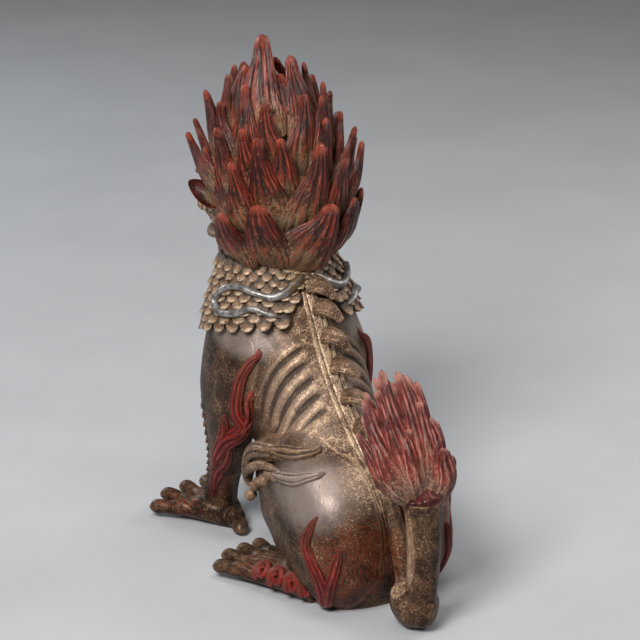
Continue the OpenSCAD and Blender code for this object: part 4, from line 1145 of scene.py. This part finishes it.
def new_group(name, inputs, *outputs):
    """An empty group: its tree, the values that it takes and the sockets that it fills."""
    tree = bpy.data.node_groups.new(name, "ShaderNodeTree")
    for key, value in inputs.items():
        tree.interface.new_socket(key, in_out="INPUT", socket_type="NodeSocketFloat").default_value = value
    for key in outputs:
        tree.interface.new_socket(key, in_out="OUTPUT", socket_type="NodeSocketFloat")
    taken = tree.nodes.new("NodeGroupInput").outputs
    return tree, [Value(taken[key]) for key in inputs], tree.nodes.new("NodeGroupOutput").inputs


def use(tree, group, **values):
    """What a group gives, as a list where it gives several."""
    given = [Value(socket) for socket in add(tree, "Group", values, node_tree=group)]
    return given if len(given) > 1 else given[0]


# %% Node groups for masks
patches, (scale, low, high), give = new_group("patches", {"Scale": 40, "From": 0.42, "To": 0.6}, "Mask")
wire(give["Mask"], step(noise(patches, scale, 4), low, high))

flecks, (amount, scale), give = new_group("leaf_flecks", {"Amount": 0.5, "Scale": 600}, "Mask")
spread = noise(flecks, scale, 3) * 0.8 + noise(flecks, 60, 2) * 0.2
edge = 0.7 - amount * 0.32
wire(give["Mask"], step(spread, edge, edge + 0.05))

# High and Low masks from a height: the finishes use them for wear and dust, and on the bronze and the collar also for
# painted highlight and painted shade.
wear_and_painted_light, (height, breakup), give = new_group("wear_and_painted_light", {"Height": 0.5, "Breakup": 0.3}, "High", "Low")
height = height + (noise(wear_and_painted_light, 240, 3) - 0.5) * breakup
wire(give["High"], step(height, 0.55, 0.8))
wire(give["Low"], step(height, 0.46, 0.24))

cast_skin, (grain,), give = new_group("cast_skin", {"Grain": 700}, "Height")
wire(give["Height"], noise(cast_skin, grain, 2) * 0.4 + noise(cast_skin, 150, 4))

hair_lines, (lines,), give = new_group("hair_lines", {"Lines": 9}, "Mask")
wire(give["Mask"], step(noise(hair_lines, lines, 2, "UV", (0.35, 9, 1)), 0.4, 0.62))

streaks, (scale,), give = new_group("streaks", {"Scale": 5}, "Mask")
wire(give["Mask"], step(noise(streaks, scale, 3, "UV", (0.7, 3, 1)), 0.38, 0.62))
print("groups:", [g.name for g in bpy.data.node_groups])


# %% Start and close a finish
def new_finish(name):
    material = bpy.data.materials.new(name)
    material.use_nodes = True
    return material, material.node_tree


def dress(tree, colour, rough, metal, skin, depth, specular=0.5):
    """Hand everything to the material's own shader. Skin is a bump, and depth is its height in mm."""
    grain = {"Height": skin, "Distance": depth * MM, "Strength": 0.8}
    shader = tree.nodes["Principled BSDF"].inputs
    for key, value in {"Base Color": colour, "Roughness": rough, "Metallic": metal, "Specular IOR Level": specular,
                       "Normal": Value(add(tree, "Bump", grain)[0])}.items():
        wire(shader[key], value)


# %% Bronze with leaf and old lacquer
bronze_finish, tree = new_finish("aged_bronze")
relief, gild, red, rubbed_and_sheen = (stored(tree, key) for key in ("relief", "gild", "lacquer", "rubbed_and_sheen"))
high, low = use(tree, wear_and_painted_light, Height=relief, Breakup=0.4)
cloud = use(tree, patches, Scale=30, From=0.36, To=0.64)
satin_and_painted_sheen = rubbed_and_sheen * use(tree, patches, Scale=40, From=0.1, To=0.6)
colour = paint(use(tree, patches, Scale=60), (0.018, 0.009, 0.0055), (0.058, 0.03, 0.0155))
colour = paint(use(tree, flecks, Amount=0.5, Scale=500), colour, (0.11, 0.062, 0.03))
# Raised places painted lighter tan: partly worn bronze, partly painted highlight.
colour = paint(high * 0.5, colour, (0.22, 0.125, 0.068))
wash = gild * (high * 0.4 + 0.3) + gild * cloud * 0.3
colour = paint(wash, colour, (0.225, 0.13, 0.081))
# Painted sheen: a pale warm grey on the rubbed spots stands in for the broad highlight on the haunch and the shoulder
# top. The smoother, more metallic rub is real.
colour = paint(satin_and_painted_sheen * 0.8, colour, (0.33, 0.262, 0.228))
rust = use(tree, flecks, Amount=red * 0.78, Scale=620)
colour = paint(rust * 0.85, colour, (0.15, 0.032, 0.014))
share = cloud * 0.07 + 0.27 + gild * (high * 0.2 + 0.25)
leaf = use(tree, flecks, Amount=share - satin_and_painted_sheen * 0.1, Scale=900)
colour = paint(leaf * 0.85, colour, (0.38, 0.242, 0.145))
cream = use(tree, flecks, Amount=gild * 0.35 + 0.25, Scale=1300)
colour = paint(leaf * cream, colour, (0.66, 0.485, 0.34))
sheet = use(tree, flecks, Amount=gild * 0.62 - 0.14, Scale=260)
colour = paint(sheet * 0.8, colour, (0.5, 0.348, 0.215))
colour = paint(low * 0.75, colour, (0.03, 0.02, 0.014))
dress(tree, colour, satin_and_painted_sheen * 0.08 + 0.4 + low * 0.25, satin_and_painted_sheen * 0.2 + 0.3, use(tree, cast_skin) + leaf * 0.3, 0.6, 0.18)
print("bronze nodes:", len(tree.nodes))


# %% Lacquer
def lacquer(name, deep, body, bright, dust, dusty, groove, tip_highlight_share, rough):
    """Lacquer on combed forms: the grooves are dark and the roots dusty; the ridges are painted bright, partly as
    wear and partly as painted highlight, and the tips take a painted highlight.
    """
    material, tree = new_finish(name)
    ridge, tip = stored(tree, "ridge"), stored(tree, "tip")
    low = use(tree, wear_and_painted_light, Height=ridge, Breakup=0.35)[1]
    lines = use(tree, hair_lines)
    strand = use(tree, patches, Scale=70, From=0.36, To=0.6)
    colour = paint(use(tree, streaks) * (strand * 0.65 + 0.35), deep, body)
    colour = paint(lines * 0.45, colour, dim(deep, 0.4))
    grime = use(tree, streaks, Scale=8) * 0.35 + step(tip, 0.75, 0.05)
    root = use(tree, flecks, Amount=grime * dusty, Scale=600)
    colour = paint(step(tip, 0.7, 0.1) * (dusty * 0.55), colour, dim(dust, 0.7))
    colour = paint(root * 0.8, colour, dust)
    # Ridges painted bright in streaks: partly worn lacquer, partly painted highlight.
    worn_and_highlit_ridges = step(ridge, 0.75, 0.98) * (use(tree, streaks, Scale=13) * strand)
    colour = paint(worn_and_highlit_ridges * 0.65, colour, bright)
    furrow = paint(step(tip, 0.9, 0.3), dim(deep, 0.3), groove)
    colour = paint(low, colour, furrow)
    # A painted highlight on the tips of the locks.
    tip_highlight = step(tip, 0.88, 0.98) * use(tree, patches, Scale=90, From=0.3, To=0.6)
    colour = paint(tip_highlight * tip_highlight_share, colour, bright)
    shine = rough - step(tip, 0.8, 1) * 0.12 + root * 0.25
    dress(tree, colour, shine, 0, use(tree, cast_skin) - lines * 0.6, 0.45, 0.3)
    return material


red_finish = lacquer("mane_lacquer", (0.022, 0.005, 0.003), (0.125, 0.0115, 0.006), (0.42, 0.08, 0.038),
                     (0.21, 0.13, 0.07), 0.95, (0.16, 0.095, 0.048), 0.55, 0.32)
flame_finish = lacquer("flame_lacquer", (0.12, 0.008, 0.006), (0.3, 0.013, 0.008), (0.42, 0.1, 0.055),
                       (0.2, 0.12, 0.07), 0.3, (0.03, 0.006, 0.004), 0.3, 0.28)
plume_finish = lacquer("plume_lacquer", (0.07, 0.009, 0.007), (0.3, 0.028, 0.019), (0.68, 0.36, 0.27),
                       (0.36, 0.23, 0.15), 0.6, (0.02, 0.005, 0.004), 0.45, 0.3)
print("lacquers:", red_finish.name, flame_finish.name, plume_finish.name)

# %% Dusty gilding
gilt_finish, tree = new_finish("dusty_gilding")
high, low = use(tree, wear_and_painted_light, Height=stored(tree, "ridge"), Breakup=0.45)
colour = paint(use(tree, patches, Scale=110), (0.15, 0.088, 0.048), (0.28, 0.178, 0.1))
# Lips and crests painted light: partly worn gilding, partly painted highlight.
colour = paint(high, colour, (0.56, 0.41, 0.27))
colour = paint(use(tree, flecks, Amount=0.5, Scale=420), colour, (0.2, 0.085, 0.05))
colour = paint(use(tree, flecks, Amount=0.35, Scale=640), colour, (0.07, 0.045, 0.028))
# Painted shade: the roots and undersides of the scales, and the sleeve between them, are painted near black.
colour = paint(low, colour, (0.03, 0.018, 0.011))
dress(tree, colour, 0.66 - high * 0.12, 0.1, use(tree, cast_skin), 0.9)

# %% Silver
silver_finish, tree = new_finish("silver_ribbon")
low = use(tree, wear_and_painted_light, Height=stored(tree, "ridge"), Breakup=0.4)[1]
ends = use(tree, flecks, Amount=step(stored(tree, "tip"), 0.3, 0.04), Scale=300)
colour = paint(use(tree, patches, Scale=120), (0.13, 0.119, 0.109), (0.33, 0.311, 0.297))
colour = paint(use(tree, flecks, Amount=0.3, Scale=500), colour, (0.11, 0.085, 0.06))
colour = paint(ends, colour, (0.17, 0.115, 0.07))
colour = paint(low, colour, (0.04, 0.032, 0.025))
dress(tree, colour, 0.34, 0.55, use(tree, cast_skin), 0.5)

# %% Eye
eye_finish, tree = new_finish("eye_gloss")
gaze = stored(tree, "gaze")
colour = paint(use(tree, patches, Scale=200), (0.3, 0.19, 0.05), (0.5, 0.36, 0.12))
colour = paint(step(gaze, 0.84, 0.9), colour, (0.16, 0.06, 0.015))
colour = paint(step(gaze, 0.93, 0.945), colour, (0.008, 0.006, 0.005))
dress(tree, colour, 0.2, 0, use(tree, cast_skin), 0.2)


# %% Ivory, iron and the floor
def speckled(name, dark, pale, rough, metal, scale, depth):
    """Two colours in patches with a fine bump, for small pieces and the floor."""
    material, tree = new_finish(name)
    mask = use(tree, patches, Scale=scale, From=0.35, To=0.65)
    dress(tree, paint(mask, dark, pale), mask * 0.1 + rough, metal, use(tree, cast_skin), depth)
    return material


ivory_finish = speckled("fang_ivory", (0.36, 0.3, 0.2), (0.55, 0.5, 0.38), 0.36, 0, 300, 0.3)
iron_finish = speckled("pin_iron", (0.03, 0.026, 0.023), (0.09, 0.07, 0.055), 0.45, 0.5, 400, 0.4)
floor.data.materials.append(speckled("pale_floor", (0.385, 0.385, 0.395), (0.4, 0.4, 0.41), 0.8, 0, 8, 0.1))
print("materials:", len(bpy.data.materials))

# %% [markdown]
# ## Onto the frame
# Every piece gets its finish, rides on the frame's one body and stands for the CAD piece that it dresses. A piece
# of the left side is mirrored here, when nothing more will change in it. The pins keep the CAD's own meshes.


# %% Settle each piece on the frame
def settle(piece, finish, slot, *nodes):
    piece.data.materials.clear()
    piece.data.materials.append(finish)
    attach(piece, "root")
    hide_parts(*nodes)


SINGLES = [
    (bronze_finish, "dark_bronze", {
        "trunk_shell": trunk, "left_foreleg": left_foreleg, "right_foreleg": right_foreleg,
        "left_hind_leg": left_hind_leg, "right_hind_leg": right_hind_leg, "tail_stem": tail_stem, "skull": skull,
        "lower_jaw": jaw}),
    (bronze_finish, "gilt_bronze", {"spine_band": spine_band, "dorsal_fins": dorsal_fins, "horn": horn}),
    (gilt_finish, "gilt_bronze", {"scale_collar": collar, "cheek_curls": cheek_curls}),
    (red_finish, "red_lacquer", {
        "mane_core": mane_core, "nape_locks": nape, "second_locks": second, "third_locks": third,
        "fourth_locks": fourth, "crown_locks": crown, "beard": beard, "tongue": tongue}),
    (plume_finish, "plume_lacquer", {"tail_plume": plume}), (ivory_finish, "ivory_lacquer", {"fangs": fangs})]
PAIRS = [
    (silver_finish, "silvered_bronze", {"ribbon": left_ribbon}),
    (red_finish, "red_lacquer", {"ear": left_ear, "brow": left_brow}), (eye_finish, "eye_lacquer", {"eye": left_eye}),
    (flame_finish, "red_lacquer", {"shoulder_flame": left_shoulder_flame, "thigh_flame": left_thigh_flame}),
    (bronze_finish, "gilt_bronze", {"knee_guard": left_knee}),
    (flame_finish, "red_lacquer", {"heel_curls": left_curls})]
for finish, slot, pieces in SINGLES:
    for node, piece in pieces.items():
        settle(piece, finish, slot, node)
for finish, slot, pieces in PAIRS:
    for node, piece in pieces.items():
        twin = mirrored(piece, piece.name.replace("left", "right"))
        settle(piece, finish, slot, "left_" + node)
        settle(twin, finish, slot, "right_" + node)
for node in ("plume_pins", "neck_pin", "front_leg_pins", "hind_leg_pins"):
    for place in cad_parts[node].material_slots:
        place.material = iron_finish
print("finished pieces:", sum(len(row[2]) for row in SINGLES + PAIRS + PAIRS))
